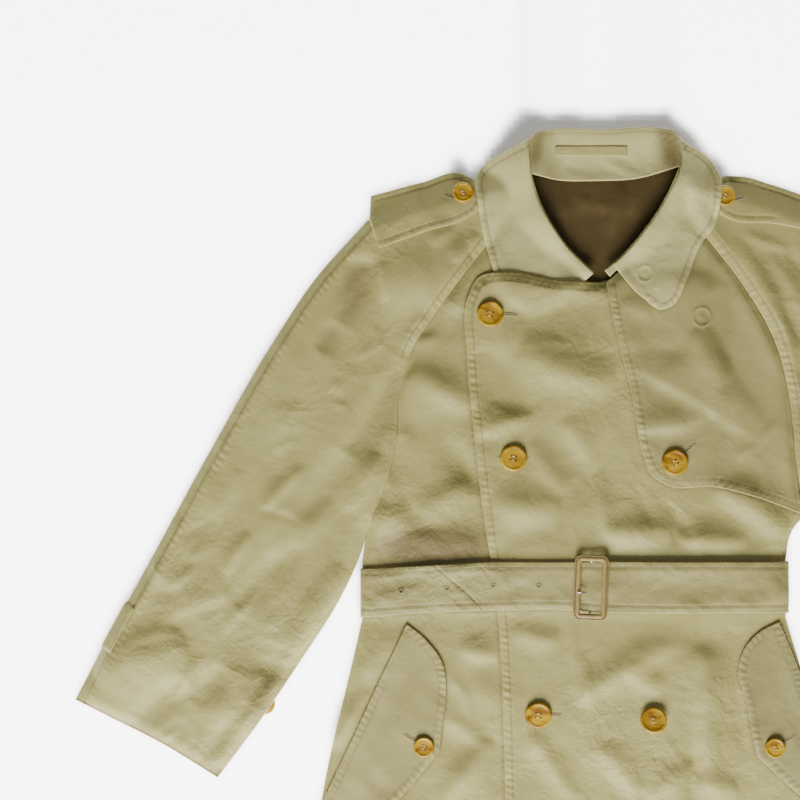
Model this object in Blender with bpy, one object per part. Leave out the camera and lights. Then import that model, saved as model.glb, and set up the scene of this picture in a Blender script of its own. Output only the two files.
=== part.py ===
"""Double-breasted raglan trench coat, buttoned and belted, laid on its back on a flat surface.

Every length is in millimetres until a mesh is written.  A place on the coat is given as
(across, drop): across runs from the centre line to the right of someone who faces the coat,
and drop runs down from the top of the collar to the hem.  "right" and "left" in the names
are the wearer's.

Each piece of cloth is cut from a sheet that rests on the pieces under it.  All sheets share
one lattice of lines, and a sheet's height is linear on each of its triangles, so a piece
that lies on another follows it exactly, one seam gap higher.
"""

import math

import bmesh
import bpy
import numpy as np
from mathutils import Vector
from mathutils.geometry import delaunay_2d_cdt

MM = 0.001

COAT_LENGTH = 1105.6
HALF_WIDTH = 550.0
HEM_DROP = COAT_LENGTH
HEM_HALF_WIDTH = 350.0

CLOTH = 1.5            # one panel with its seams pressed
LINING = 1.0
DOUBLED = 2.0          # collar, flaps, straps and belt: two plies and an interlining
GAP = 0.3              # between pieces that touch
SLEEVE_SHIFT = 0.6     # of a sleeve away from the body, at the raglan seam
FLAP_SHIFT = 1.0       # of the gun flap away from the same seam
DRAPE_SLOPE = 0.35     # how steeply cloth comes down from what it lies on
CHORD_ERROR = 0.4      # of a curved edge

BELT_TOP = 455.0
BELT_MIDDLE = 483.0
BELT_BOTTOM = 516.0
BELT_LEFT_SIDE = -246.5    # the body's edges where the belt draws it in
BELT_RIGHT_SIDE = 199.0
BELT_PRESS = 0.12          # the share of a fold that is left under the belt
BELT_PRESS_FADE = 12.0     # how far beyond the belt folds come back

ACROSS_STEP = 24.0
ACROSS_REACH = 576.0
UPPER_DROPS = [-16.0 + 24.0 * row for row in range(19)]
WAIST_DROPS = [434.0, 446.0, BELT_TOP, BELT_MIDDLE, BELT_BOTTOM, 530.0, 552.0]
SKIRT_DROPS = [578.0 + 26.0 * row for row in range(6)]
HEM_DROPS = [748.0 + 40.0 * row for row in range(10)]

FRONT_BUTTON_RADIUS = 14.0
SMALL_BUTTON_RADIUS = 10.8
BUTTON_THICKNESS = 4.2
BUTTON_SIDES = 20

KHAKI = (0.50, 0.455, 0.30, 1.0)
LINING_BROWN = (0.26, 0.20, 0.11, 1.0)
AMBER = (0.62, 0.36, 0.05, 1.0)
TAN_LEATHER = (0.50, 0.36, 0.18, 1.0)
STEEL = (0.72, 0.70, 0.66, 1.0)

# ---------------------------------------------------------------------------
# Edges.  A row is (across, drop, turn); "corner" turns sharply, "curve" runs on.
# ---------------------------------------------------------------------------

NECK_TO_RAGLAN = [(-84, 50, "corner"), (-99, 97, "curve")]

RIGHT_RAGLAN = [
    (-116, 122, "curve"),
    (-145, 160, "curve"),
    (-175, 202, "curve"),
    (-194, 231, "curve"),
    (-199, 245, "corner"),
]

LEFT_RAGLAN = [
    (99, 97, "curve"),
    (118, 119, "curve"),
    (153, 164, "curve"),
    (188, 226, "curve"),
    (204, 290, "curve"),
    (210, 350, "curve"),
    (219, 408, "corner"),
]

RIGHT_SIDE = [
    (-222, 300, "curve"),
    (-234, 360, "curve"),
    (-242, 425, "curve"),
    (BELT_LEFT_SIDE, BELT_TOP, "corner"),
    (BELT_LEFT_SIDE, BELT_BOTTOM, "corner"),
    (-258, 566, "curve"),
    (-279, 654, "curve"),
    (-314, 860, "curve"),
    (-HEM_HALF_WIDTH, HEM_DROP, "corner"),
]

LEFT_SIDE = [
    (HEM_HALF_WIDTH, HEM_DROP, "corner"),
    (318, 920, "curve"),
    (266, 720, "curve"),
    (222, 590, "curve"),
    (BELT_RIGHT_SIDE, BELT_BOTTOM, "corner"),
    (BELT_RIGHT_SIDE, BELT_TOP, "corner"),
    (205, 425, "curve"),
    (219, 408, "corner"),
]

HEM = [(-170, HEM_DROP - 2, "curve"), (0, HEM_DROP - 6, "curve"), (170, HEM_DROP - 2, "curve")]

BACK_NECK = [
    (-70, 50, "curve"),
    (-45, 55, "curve"),
    (2, 56, "curve"),
    (40, 54, "curve"),
    (68, 47, "curve"),
]

RIGHT_FRONT_NECK = [(-79, 88, "corner"), (-64, 108, "curve"), (-46, 129, "curve"), (-14, 160, "corner")]

# The buttoning edge of the front that lies on top, from the throat down.
OVER_EDGE = [
    (2, 163, "corner"),
    (-40, 161, "curve"),
    (-100, 152.5, "curve"),
    (-124, 157, "curve"),
    (-136, 178, "curve"),
    (-137, 240, "curve"),
    (-132, 299, "curve"),
    (-123, 382, "curve"),
    (-105, 508, "curve"),
    (-98, 660, "curve"),
    (-97, HEM_DROP - 4, "corner"),
]

SLEEVE_TOP = [(-86, 50, "corner")]

SLEEVE_INNER = [
    (-209, 280, "curve"),
    (-212, 330, "curve"),
    (-221, 368, "curve"),
    (-240, 418, "curve"),
    (-252, 455, "curve"),
    (-272, 497, "curve"),
    (-312, 560, "curve"),
    (-355, 623, "curve"),
    (-400, 684, "corner"),
]

CUFF = [(-461, 647, "curve"), (-500, 627, "curve"), (-HALF_WIDTH, 602, "corner")]

SLEEVE_OUTER = [
    (-518, 541, "curve"),
    (-471, 455, "curve"),
    (-402, 329, "curve"),
    (-341, 224, "curve"),
    (-299, 161, "curve"),
    (-243, 98, "corner"),
]

SHOULDER = [(-205, 82, "curve"), (-150, 66, "curve")]

COLLAR_BACK_EDGE = [
    (-122, 44, "curve"),
    (-96, 26.5, "curve"),
    (-73, 14, "curve"),
    (-64, 6.6, "curve"),
    (-47, 2.6, "curve"),
    (5, 2.9, "curve"),
    (68, 1.6, "curve"),
    (80, 4.6, "curve"),
    (89, 16, "curve"),
    (121, 37, "curve"),
    (127, 48, "curve"),
    (120, 80, "curve"),
    (84, 96, "curve"),
    (0, 86, "curve"),
    (-84, 96, "curve"),
    (-118, 78, "curve"),
]

# The stand: outside from the right front's throat round the neck to the left's, then back
# along the line where the collar rolls over at the sides and the neck seam behind.
COLLAR_STAND = [
    (-18, 155, "corner"),
    (-56, 116, "curve"),
    (-76, 85, "curve"),
    (-84, 56, "curve"),
    (-79, 28, "curve"),
    (-72, 14, "curve"),
    (-64, 7.1, "curve"),
    (-47, 3.1, "curve"),
    (5, 3.4, "curve"),
    (68, 2.1, "curve"),
    (80, 5.1, "curve"),
    (87.5, 16, "curve"),
    (91, 34, "curve"),
    (87, 66, "curve"),
    (77, 86.5, "curve"),
    (62, 106.5, "curve"),
    (44, 127.5, "curve"),
    (13, 157.5, "corner"),
    (7, 151, "corner"),
    (28, 132, "curve"),
    (49, 107, "curve"),
    (70, 75, "curve"),
    (84.5, 43, "corner"),
    (68, 48, "curve"),
    (40, 54.5, "curve"),
    (2, 56.5, "curve"),
    (-45, 55.5, "curve"),
    (-69, 51, "corner"),
    (-66, 62, "curve"),
    (-53, 94, "curve"),
    (-37, 118, "curve"),
    (-4, 152, "corner"),
]

RIGHT_LEAF = [
    (-4, 154, "corner"),
    (-38, 119, "curve"),
    (-54, 95, "curve"),
    (-68, 61, "curve"),
    (-72, 32, "curve"),
    (-72.5, 14, "corner"),
    (-95, 26, "curve"),
    (-117, 38.5, "curve"),
    (-126, 50, "curve"),
    (-125.5, 80, "curve"),
    (-114, 134, "curve"),
    (-98, 174, "curve"),
    (-70, 193, "curve"),
    (-54, 190, "curve"),
    (-14, 163, "corner"),
]

LEFT_LEAF = [
    (6, 153, "corner"),
    (29, 133, "curve"),
    (50, 108, "curve"),
    (71, 76, "curve"),
    (87, 39, "curve"),
    (88.5, 16, "corner"),
    (120, 36, "curve"),
    (127, 48, "curve"),
    (128, 80, "curve"),
    (122, 106, "curve"),
    (111, 120, "curve"),
    (94, 159, "curve"),
    (78, 188, "curve"),
    (68, 192, "curve"),
    (47, 180, "curve"),
    (16, 145, "corner"),
]

GUN_FLAP = [
    (10, 163, "corner"),
    (17, 203, "curve"),
    (36, 278, "curve"),
    (49, 345, "curve"),
    (57, 364, "curve"),
    (74, 376, "curve"),
    (124, 378, "curve"),
    (165, 388, "curve"),
    (217, 407, "corner"),
    (210, 350, "curve"),
    (204, 290, "curve"),
    (188, 226, "curve"),
    (153, 164, "curve"),
    (118, 119, "curve"),
    (96, 96, "curve"),
    (80, 91, "corner"),
    (66, 109, "curve"),
    (48, 130, "curve"),
]

RIGHT_EPAULETTE = [
    (-238, 72, "corner"),
    (-182, 57, "curve"),
    (-145, 48, "curve"),
    (-129, 56, "curve"),
    (-121, 72, "curve"),
    (-125, 88, "curve"),
    (-138, 97, "curve"),
    (-182, 111, "curve"),
    (-229, 128, "corner"),
    (-239, 98, "corner"),
]

LEFT_EPAULETTE = [
    (236, 78, "corner"),
    (185, 60, "curve"),
    (150, 51, "curve"),
    (130, 53, "curve"),
    (120, 70, "curve"),
    (126, 90, "curve"),
    (141, 98, "curve"),
    (185, 102, "curve"),
    (234, 112, "corner"),
]

RIGHT_POCKET_FLAP = [
    (-200, 521, "corner"),
    (-180, 537, "curve"),
    (-162, 562, "curve"),
    (-158, 590, "curve"),
    (-162, 625, "curve"),
    (-165, 655, "corner"),
    (-210, 707, "curve"),
    (-262, 745, "curve"),
    (-295, 757, "corner"),
    (-285, 702, "corner"),
    (-230, 583, "curve"),
]

LEFT_POCKET_FLAP = [
    (191, 519, "corner"),
    (208, 560, "curve"),
    (262, 710, "corner"),
    (272, 748, "corner"),
    (213, 702, "curve"),
    (168, 661, "corner"),
    (163, 642, "curve"),
    (156, 600, "curve"),
    (148, 572, "curve"),
    (153, 550, "curve"),
    (170, 530, "curve"),
]

LINING_EDGE = [
    (-66, 58, "corner"),
    (-40, 60, "curve"),
    (2, 61, "curve"),
    (40, 59.5, "curve"),
    (68, 53, "corner"),
    (112, 122, "curve"),
    (112, 230, "corner"),
    (-104, 230, "corner"),
    (-104, 122, "curve"),
]

HANGER_LOOP = [
    (-44, 20, "corner"),
    (31.5, 20, "corner"),
    (31.5, 30.5, "corner"),
    (-44, 30.5, "corner"),
]

# ---------------------------------------------------------------------------
# Folds.  A row is (from across, from drop, to across, to drop, height, half width).
# ---------------------------------------------------------------------------

BODY_FOLDS = [
    (-170, 300, -150, 420, 3.0, 46),     # fullness of the right chest
    (-205, 428, -110, 412, 4.5, 17),     # cloth bloused over the belt
    (-15, 300, -10, 400, 3.0, 52),
    (-40, 448, -12, 395, 3.5, 16),       # fold that runs up from the buckle
    (14, 440, 150, 442, 6.5, 15),
    (136, 394, 178, 438, 6.0, 17),
    (178, 438, 196, 426, 5.0, 13),
    (38, 256, 150, 316, 6.0, 22),        # fold across the gun flap
    (120, 200, 150, 290, 3.0, 40),
    (-180, 275, -176, 330, 3.5, 18),
    (-140, 545, -106, 562, 3.5, 15),
    (-163, 715, -116, 648, 4.0, 20),
    (-30, 612, 46, 574, 4.0, 20),
    (60, 560, 120, 700, 3.0, 34),
    (-210, 800, -250, 1080, 6.0, 34),
    (-60, 760, -52, 1070, 5.0, 34),
    (88, 800, 110, 1080, 6.0, 36),
    (210, 780, 262, 1080, 6.0, 32),
]

SLEEVE_FOLDS = [
    (-300, 255, -420, 500, 5.0, 44),     # roundness of the arm
    (-204, 252, -262, 344, 6.0, 17),     # fold that starts at the underarm
    (-262, 344, -300, 430, 3.0, 22),
    (-232, 150, -262, 215, 2.5, 30),
    (-470, 525, -436, 532, 3.0, 14),
    (-330, 470, -400, 600, 4.0, 22),
    (-440, 470, -500, 585, 3.0, 24),
]

# Heights that the collar's stiffness holds it up to, along its roll.
NECK_ROLL = [
    (-8, 148, -50, 98, 7.0, 20),
    (-50, 98, -72, 44, 9.0, 24),
    (-72, 44, -76, 20, 9.0, 26),
    (12, 150, 50, 108, 8.0, 20),
    (50, 108, 80, 60, 10.0, 24),
    (80, 60, 90, 22, 9.0, 26),
]

BACK_ROLL = [(-66, 2, 80, 2, 8.0, 26)]

# ---------------------------------------------------------------------------
# Belt: its edges at stations across the coat, and the sizes of its buckle.
# ---------------------------------------------------------------------------

BELT_EDGES = [
    # across, top drop, bottom drop
    (-252, 464.0, 515.6),
    (-196, 460.5, 511.0),
    (-116, 456.0, 507.5),
    (-39, 455.6, 506.5),
    (8, 455.4, 509.0),
    (204, 456.0, 510.0),
]

BUCKLE_ACROSS = -7.5
BUCKLE_DROP = 482.5
BUCKLE_WIDTH = 36.0
BUCKLE_HEIGHT = 68.6
BUCKLE_BAR = 6.2
BUCKLE_THICKNESS = 4.0
BUCKLE_CORNER = 7.5
BUCKLE_TILT = math.radians(-2.0)
BUCKLE_EDGE = 1.2                  # how far the soft edges of its section reach in
BUCKLE_CROWN = 0.45                # the share of its thickness where it is widest
MIDDLE_BAR_RISE = 2.0
MIDDLE_BAR_HALF_WIDTH = 1.6
MIDDLE_BAR_POST = 3.0
TONGUE_CROWN = 3.5                 # half the stretch of tongue that lies on the middle bar
TONGUE_FOOT = 8.2                  # from there it is back on the fixed end
TONGUE_STEPS = (-45.0, -20.0, -TONGUE_FOOT, -TONGUE_CROWN, TONGUE_CROWN, TONGUE_FOOT)
PRONG_SIDES = (3.6, 6.4)           # its edges, along the side bar that it lies on
PRONG_THICKNESS = 1.6

CUFF_STRAP_START = (-508.0, 522.5)     # on the sleeve's outer edge
CUFF_STRAP_TURN = math.radians(28.6)   # from straight across towards the hem
CUFF_STRAP_REACH = 188.0
CUFF_STRAP_HALF_WIDTH = 27.0
CUFF_STRAP_OVERLAP = 12.0              # on the sleeve's top side
CUFF_STRAP_RISE = 143.0                # where it leaves the surface for its button
CUFF_STRAP_LEVEL = 162.0
CUFF_BUTTON_ALONG = 177.0
CUFF_BUTTON_ASIDE = -2.0

# across, drop, radius, name, the pieces under it
BUTTONS = [
    (-112.5, 196.5, FRONT_BUTTON_RADIUS, "front_button_upper_right", ["front_over"]),
    (-88.0, 347.5, FRONT_BUTTON_RADIUS, "front_button_middle_right", ["front_over"]),
    (-62.0, 616.5, FRONT_BUTTON_RADIUS, "front_button_lower_right", ["front_over"]),
    (81.0, 352.0, FRONT_BUTTON_RADIUS, "gun_flap_button", ["gun_flap"]),
    (58.0, 621.5, FRONT_BUTTON_RADIUS, "front_button_lower_left", ["front_over"]),
    (-141.0, 69.5, SMALL_BUTTON_RADIUS, "epaulette_button_right", ["epaulette_right"]),
    (133.0, 73.0, SMALL_BUTTON_RADIUS, "epaulette_button_left", ["epaulette_left"]),
    (-182.0, 650.0, SMALL_BUTTON_RADIUS, "pocket_button_right", ["pocket_flap_right"]),
    (186.0, 651.0, SMALL_BUTTON_RADIUS, "pocket_button_left", ["pocket_flap_left"]),
]

# ---------------------------------------------------------------------------
# The lattice
# ---------------------------------------------------------------------------


def with_midpoints(lines):
    """The lines and the middles between them, so that every second one is an old one."""
    fine = [lines[0]]
    for before, after in zip(lines, lines[1:]):
        fine.append((before + after) / 2.0)
        fine.append(after)
    return np.array(fine)


COARSE_ACROSS = list(np.arange(-ACROSS_REACH, ACROSS_REACH + 1.0, ACROSS_STEP))
COARSE_DROPS = UPPER_DROPS + WAIST_DROPS + SKIRT_DROPS + HEM_DROPS
ACROSS = with_midpoints(COARSE_ACROSS)
DROPS = with_midpoints(COARSE_DROPS)
NODE_ACROSS, NODE_DROP = np.meshgrid(ACROSS, DROPS)

SHEETS = {}      # name: its edge, whether it uses the coarse lattice, and its top heights


def cell_of(lines, value):
    """Which cell between the lines a value is in."""
    return int(np.clip(np.searchsorted(lines, value, side="right") - 1, 0, len(lines) - 2))


def height_at(field, across, drop):
    """A lattice field at any place, linear on each triangle."""
    column = cell_of(ACROSS, across)
    row = cell_of(DROPS, drop)
    u = (across - ACROSS[column]) / (ACROSS[column + 1] - ACROSS[column])
    v = (drop - DROPS[row]) / (DROPS[row + 1] - DROPS[row])
    low = field[row, column]
    high = field[row + 1, column + 1]
    if u >= v:
        side = field[row, column + 1]
        return low + u * (side - low) + v * (high - side)
    side = field[row + 1, column]
    return low + v * (side - low) + u * (high - side)


def refined(coarse):
    """A field on the coarse lattice, carried to the fine one without changing its shape."""
    rows, columns = coarse.shape
    fine = np.zeros((2 * rows - 1, 2 * columns - 1))
    fine[::2, ::2] = coarse
    fine[::2, 1::2] = (coarse[:, :-1] + coarse[:, 1:]) / 2.0
    fine[1::2, ::2] = (coarse[:-1, :] + coarse[1:, :]) / 2.0
    fine[1::2, 1::2] = (coarse[:-1, :-1] + coarse[1:, 1:]) / 2.0
    return fine


def smoothed_edge(rows, shift=0.0):
    """The closed edge through the rows, as few straight pieces as its curves allow."""
    count = len(rows)
    points = [np.array((row[0] + shift, row[1]), dtype=float) for row in rows]
    corners = [row[2] == "corner" for row in rows]
    edge = []
    for index in range(count):
        start = points[index]
        end = points[(index + 1) % count]
        before = points[index - 1]
        after = points[(index + 2) % count]
        chord = end - start
        span = np.linalg.norm(chord)
        leave = chord if corners[index] else tangent(before, start, end) * span
        arrive = chord if corners[(index + 1) % count] else tangent(start, end, after) * span
        steps = max(1, min(12, int(span / 6.0)))
        for step in range(steps):
            t = step / steps
            edge.append(hermite(start, end, leave, arrive, t))
    return thinned(edge, corners_at(edge, points, corners))


def tangent(before, here, after):
    """The direction of a smooth curve at a point between two others."""
    back = here - before
    forth = after - here
    back_length = np.linalg.norm(back)
    forth_length = np.linalg.norm(forth)
    mean = back / back_length * forth_length + forth / forth_length * back_length
    return mean / np.linalg.norm(mean)


def hermite(start, end, leave, arrive, t):
    """A point of the cubic between two points with given tangents."""
    s = 1.0 - t
    return (
        start * (1.0 + 2.0 * t) * s * s
        + leave * t * s * s
        + end * t * t * (3.0 - 2.0 * t)
        - arrive * t * t * s
    )


def corners_at(edge, points, corners):
    """Which points of the edge are its corners."""
    fixed = [point for point, corner in zip(points, corners) if corner]
    return [any(np.linalg.norm(place - point) < 1e-6 for point in fixed) for place in edge]


def thinned(edge, keep):
    """The edge without the points that its chords stand in for."""
    kept = [0]
    index = 1
    while index < len(edge):
        start = edge[kept[-1]]
        last = index
        while last + 1 < len(edge) and not keep[last]:
            if chord_error(start, edge[last + 1], edge[kept[-1] + 1:last + 1]) > CHORD_ERROR:
                break
            last += 1
        kept.append(last)
        index = last + 1
    return [tuple(edge[place]) for place in kept]


def chord_error(start, end, between):
    """How far the points between two ends lie from their chord."""
    run = end - start
    length = np.linalg.norm(run)
    offsets = [abs(run[0] * (p - start)[1] - run[1] * (p - start)[0]) / length for p in between]
    return max(offsets, default=0.0)


def inside(edge, across, drop):
    """Whether places lie inside a closed edge."""
    result = np.zeros(np.shape(across), dtype=bool)
    for (ax, ad), (bx, bd) in zip(edge, edge[1:] + edge[:1]):
        if ad == bd:
            continue
        crosses = (ad > drop) != (bd > drop)
        result ^= crosses & (across < (bx - ax) * (drop - ad) / (bd - ad) + ax)
    return result


def lattice_window(edges, coarse):
    """The lattice lines that cover all the edges."""
    step = 2 if coarse else 1
    across_lines = ACROSS[::step]
    drop_lines = DROPS[::step]
    places = [place for edge in edges for place in edge]
    low = cell_of(across_lines, min(place[0] for place in places))
    high = cell_of(across_lines, max(place[0] for place in places)) + 1
    top = cell_of(drop_lines, min(place[1] for place in places))
    bottom = cell_of(drop_lines, max(place[1] for place in places)) + 1
    return across_lines[low:high + 1], drop_lines[top:bottom + 1]


def triangles_within(edges, coarse):
    """Triangles of the lattice, cut along the edges, that lie inside every edge."""
    across_lines, drop_lines = lattice_window(edges, coarse)
    columns = len(across_lines)
    rows = len(drop_lines)
    places = [(across, drop) for drop in drop_lines for across in across_lines]
    links = []
    for row in range(rows):
        for column in range(columns):
            here = row * columns + column
            if column + 1 < columns:
                links.append((here, here + 1))
            if row + 1 < rows:
                links.append((here, here + columns))
            if column + 1 < columns and row + 1 < rows:
                links.append((here, here + columns + 1))
    for edge in edges:
        first = len(places)
        places.extend(edge)
        count = len(edge)
        links.extend((first + index, first + (index + 1) % count) for index in range(count))
    found = delaunay_2d_cdt([Vector(place) for place in places], links, [], 0, 0.02, False)
    corners = np.array([tuple(place) for place in found[0]])
    faces = np.array([tuple(face) for face in found[2]])
    centres = corners[faces].mean(axis=1)
    wanted = np.ones(len(faces), dtype=bool)
    for edge in edges:
        wanted &= inside(edge, centres[:, 0], centres[:, 1])
    return corners, faces[wanted], centres[wanted]


def covered_cells(edges, coarse):
    """The lattice cells in which the edges' insides overlap."""
    step = 2 if coarse else 1
    centres = triangles_within(edges, coarse)[2]
    return {(cell_of(DROPS[::step], drop), cell_of(ACROSS[::step], across)) for across, drop in centres}


def support(edge, coarse, under):
    """The lowest height that a sheet may have at each lattice node."""
    step = 2 if coarse else 1
    need = np.zeros((len(DROPS[::step]), len(ACROSS[::step])))
    for name in under:
        other = SHEETS[name]
        box_apart = (
            max(p[0] for p in edge) < min(p[0] for p in other["edge"])
            or min(p[0] for p in edge) > max(p[0] for p in other["edge"])
        )
        if box_apart:
            continue
        by_cell = coarse and not other["coarse"]
        for row, column in covered_cells([edge, other["edge"]], coarse):
            for node in ((row, column), (row + 1, column), (row, column + 1), (row + 1, column + 1)):
                if by_cell:
                    top = other["top"][2 * row:2 * row + 3, 2 * column:2 * column + 3].max()
                else:
                    top = other["top"][node[0] * step, node[1] * step]
                need[node] = max(need[node], top + GAP)
    return need


def draped(need, coarse):
    """Cloth laid over the needed heights, coming down no more steeply than it drapes."""
    step = 2 if coarse else 1
    across_gap = np.diff(ACROSS[::step])[None, :]
    drop_gap = np.diff(DROPS[::step])[:, None]
    height = need.copy()
    for _ in range(60):
        before = height.copy()
        height[:, 1:] = np.maximum(height[:, 1:], height[:, :-1] - DRAPE_SLOPE * across_gap)
        height[:, :-1] = np.maximum(height[:, :-1], height[:, 1:] - DRAPE_SLOPE * across_gap)
        height[1:, :] = np.maximum(height[1:, :], height[:-1, :] - DRAPE_SLOPE * drop_gap)
        height[:-1, :] = np.maximum(height[:-1, :], height[1:, :] - DRAPE_SLOPE * drop_gap)
        if np.array_equal(before, height):
            break
    return height


def fold_height(folds, across, drop):
    """The summed height of soft ridges, each round across and fading at its ends."""
    total = np.zeros(np.shape(across))
    for from_across, from_drop, to_across, to_drop, height, half_width in folds:
        run = np.array((to_across - from_across, to_drop - from_drop), dtype=float)
        length = np.linalg.norm(run)
        run /= length
        along = (across - from_across) * run[0] + (drop - from_drop) * run[1]
        aside = (across - from_across) * -run[1] + (drop - from_drop) * run[0]
        past = np.maximum(0.0, np.maximum(-along, along - length))
        total += height * np.exp(-(aside / half_width) ** 2 - (past / (1.3 * half_width)) ** 2)
    return total


def belt_press(drop):
    """How much of a fold is left where the belt draws the body in."""
    middle = (BELT_TOP + BELT_BOTTOM) / 2.0
    half = (BELT_BOTTOM - BELT_TOP) / 2.0
    outside = np.clip((np.abs(drop - middle) - half) / BELT_PRESS_FADE, 0.0, 1.0)
    return BELT_PRESS + (1.0 - BELT_PRESS) * outside


# ---------------------------------------------------------------------------
# Materials and meshes
# ---------------------------------------------------------------------------


def material(name, colour, roughness, metallic=0.0):
    """A plain Principled material, made once."""
    made = bpy.data.materials.get(name)
    if made is None:
        made = bpy.data.materials.new(name)
        made.use_nodes = True
        shader = made.node_tree.nodes["Principled BSDF"]
        shader.inputs["Base Color"].default_value = colour
        shader.inputs["Roughness"].default_value = roughness
        shader.inputs["Metallic"].default_value = metallic
    return made


def gabardine():
    return material("gabardine", KHAKI, 0.85)


def lining_cloth():
    return material("lining_cloth", LINING_BROWN, 0.8)


def horn():
    return material("horn", AMBER, 0.35)


def leather():
    return material("leather", TAN_LEATHER, 0.6)


def steel():
    return material("steel", STEEL, 0.3, 1.0)


def place(across, drop, height):
    """A point of the coat in metres, with the whole coat centred on the origin."""
    return Vector((across * MM, (COAT_LENGTH / 2.0 - drop) * MM, height * MM))


def add_object(name, mesh, finish, smooth_angle=None):
    """An object of its own for a finished mesh."""
    mesh.materials.append(finish)
    if smooth_angle is not None:
        mesh.shade_smooth()
        mesh.set_sharp_from_angle(angle=smooth_angle)
    built = bpy.data.objects.new(name, mesh)
    bpy.context.scene.collection.objects.link(built)
    return built


def mesh_from(name, corners, faces):
    """A mesh of the given corners and faces, with its faces turned outwards."""
    mesh = bpy.data.meshes.new(name)
    mesh.from_pydata(corners, [], faces)
    shape = bmesh.new()
    shape.from_mesh(mesh)
    bmesh.ops.recalc_face_normals(shape, faces=shape.faces)
    shape.to_mesh(mesh)
    shape.free()
    return mesh


def cloth(
    name, rows, under, thickness=CLOTH, coarse=True,
    folds=(), roll=(), finish=None, shift=0.0, belted=False,
):
    """One piece of cloth: its edge, the pieces it lies on, and the folds it makes."""
    edge = smoothed_edge(rows, shift)
    bottom = draped(support(edge, coarse, under), coarse)
    step = 2 if coarse else 1
    node_across = NODE_ACROSS[::step, ::step]
    node_drop = NODE_DROP[::step, ::step]
    if folds:
        rise = fold_height(folds, node_across, node_drop)
        bottom = bottom + (rise * belt_press(node_drop) if belted else rise)
    if roll:
        bottom = np.maximum(bottom, fold_height(roll, node_across, node_drop))
    if coarse:
        bottom = refined(bottom)
    SHEETS[name] = {"edge": edge, "coarse": coarse, "top": bottom + thickness}
    mesh = cloth_mesh(name, edge, coarse, bottom, thickness)
    return add_object(name, mesh, finish or gabardine(), math.radians(40.0))


def cloth_mesh(name, edge, coarse, bottom, thickness):
    """The closed wall between a sheet's underside and its top."""
    corners, faces, _ = triangles_within([edge], coarse)
    used = sorted(set(faces.ravel()))
    order = {corner: index for index, corner in enumerate(used)}
    count = len(used)
    lower = []
    upper = []
    for corner in used:
        across, drop = corners[corner]
        height = height_at(bottom, across, drop)
        lower.append(place(across, drop, height))
        upper.append(place(across, drop, height + thickness))
    walls = []
    links = {}
    for face in faces:
        one, two, three = (order[corner] for corner in face)
        walls.append((one, two, three))
        walls.append((count + three, count + two, count + one))
        for start, end in ((one, two), (two, three), (three, one)):
            links[(start, end)] = True
    for start, end in links:
        if (end, start) not in links:
            walls.append((start, count + start, count + end, end))
    return mesh_from(name, lower + upper, walls)


def mirrored(rows):
    """The same edge on the other side of the centre line."""
    return [(-row[0], *row[1:]) for row in reversed(rows)]


def turned(rows):
    """An open stretch of edge, walked the other way."""
    return list(reversed(rows))


# ---------------------------------------------------------------------------
# Straps, which are wrapped round an edge
# ---------------------------------------------------------------------------


def strap_mesh(name, path, edges, thickness, locate):
    """A strip of even thickness along a path of (along, height), outside on its left."""
    count = len(path)
    points = [np.array(point, dtype=float) for point in path]
    corners = []
    for index, point in enumerate(points):
        into = points[index] - points[index - 1] if index else points[1] - points[0]
        out = points[index + 1] - points[index] if index + 1 < count else into
        into = into / np.linalg.norm(into)
        out = out / np.linalg.norm(out)
        normal_in = np.array((-into[1], into[0]))
        normal_out = np.array((-out[1], out[0]))
        miter = normal_in + normal_out
        miter = miter / miter.dot(normal_in) if index and index + 1 < count else normal_in
        outer = point + miter * thickness
        near, far = edges(point[0])
        for along, height in (point, outer):
            corners.append(locate(along, near, height))
            corners.append(locate(along, far, height))
    faces = [(0, 1, 3, 2)]
    for index in range(count - 1):
        here = 4 * index
        after = here + 4
        faces.append((here, here + 1, after + 1, after))
        faces.append((here + 2, after + 2, after + 3, here + 3))
        faces.append((here, after, after + 2, here + 2))
        faces.append((here + 1, here + 3, after + 3, after + 1))
    last = 4 * (count - 1)
    faces.append((last, last + 2, last + 3, last + 1))
    return mesh_from(name, corners, faces)


def belt_edges(across):
    """The belt's top and bottom drop at a place across the coat."""
    stations = [row[0] for row in BELT_EDGES]
    top = float(np.interp(across, stations, [row[1] for row in BELT_EDGES]))
    bottom = float(np.interp(across, stations, [row[2] for row in BELT_EDGES]))
    return top, bottom


def belt_seat():
    """The height that the belt rests at on each lattice line across the waist."""
    rows = [index for index, drop in enumerate(DROPS) if BELT_TOP <= drop <= BELT_BOTTOM]
    tops = np.maximum(SHEETS["front_under"]["top"], SHEETS["front_over"]["top"])
    return tops[rows, ::2].max(axis=0) + GAP


def belt_height(across):
    """The belt's resting height anywhere across the waist."""
    return float(np.interp(across, ACROSS[::2], belt_seat()))


def waist_lines(start, end):
    """The lattice lines between two places across, with both ends."""
    between = [line for line in ACROSS[::2] if start + 3.0 < line < end - 3.0]
    return [start, *between, end]


def belt_back():
    """The stretch of belt that passes behind the coat, flat on the surface."""
    left = BELT_LEFT_SIDE - GAP - DOUBLED
    right = BELT_RIGHT_SIDE + GAP + DOUBLED
    path = [(across, 0.0) for across in waist_lines(left, right)]
    mesh = strap_mesh("belt_back", path, belt_edges, DOUBLED, place)
    add_object("belt_back", mesh, gabardine())
    edge = [(left, BELT_TOP), (right, BELT_TOP), (right, BELT_BOTTOM), (left, BELT_BOTTOM)]
    SHEETS["belt_back"] = {"edge": edge, "coarse": True, "top": np.full(NODE_DROP.shape, DOUBLED)}


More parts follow.
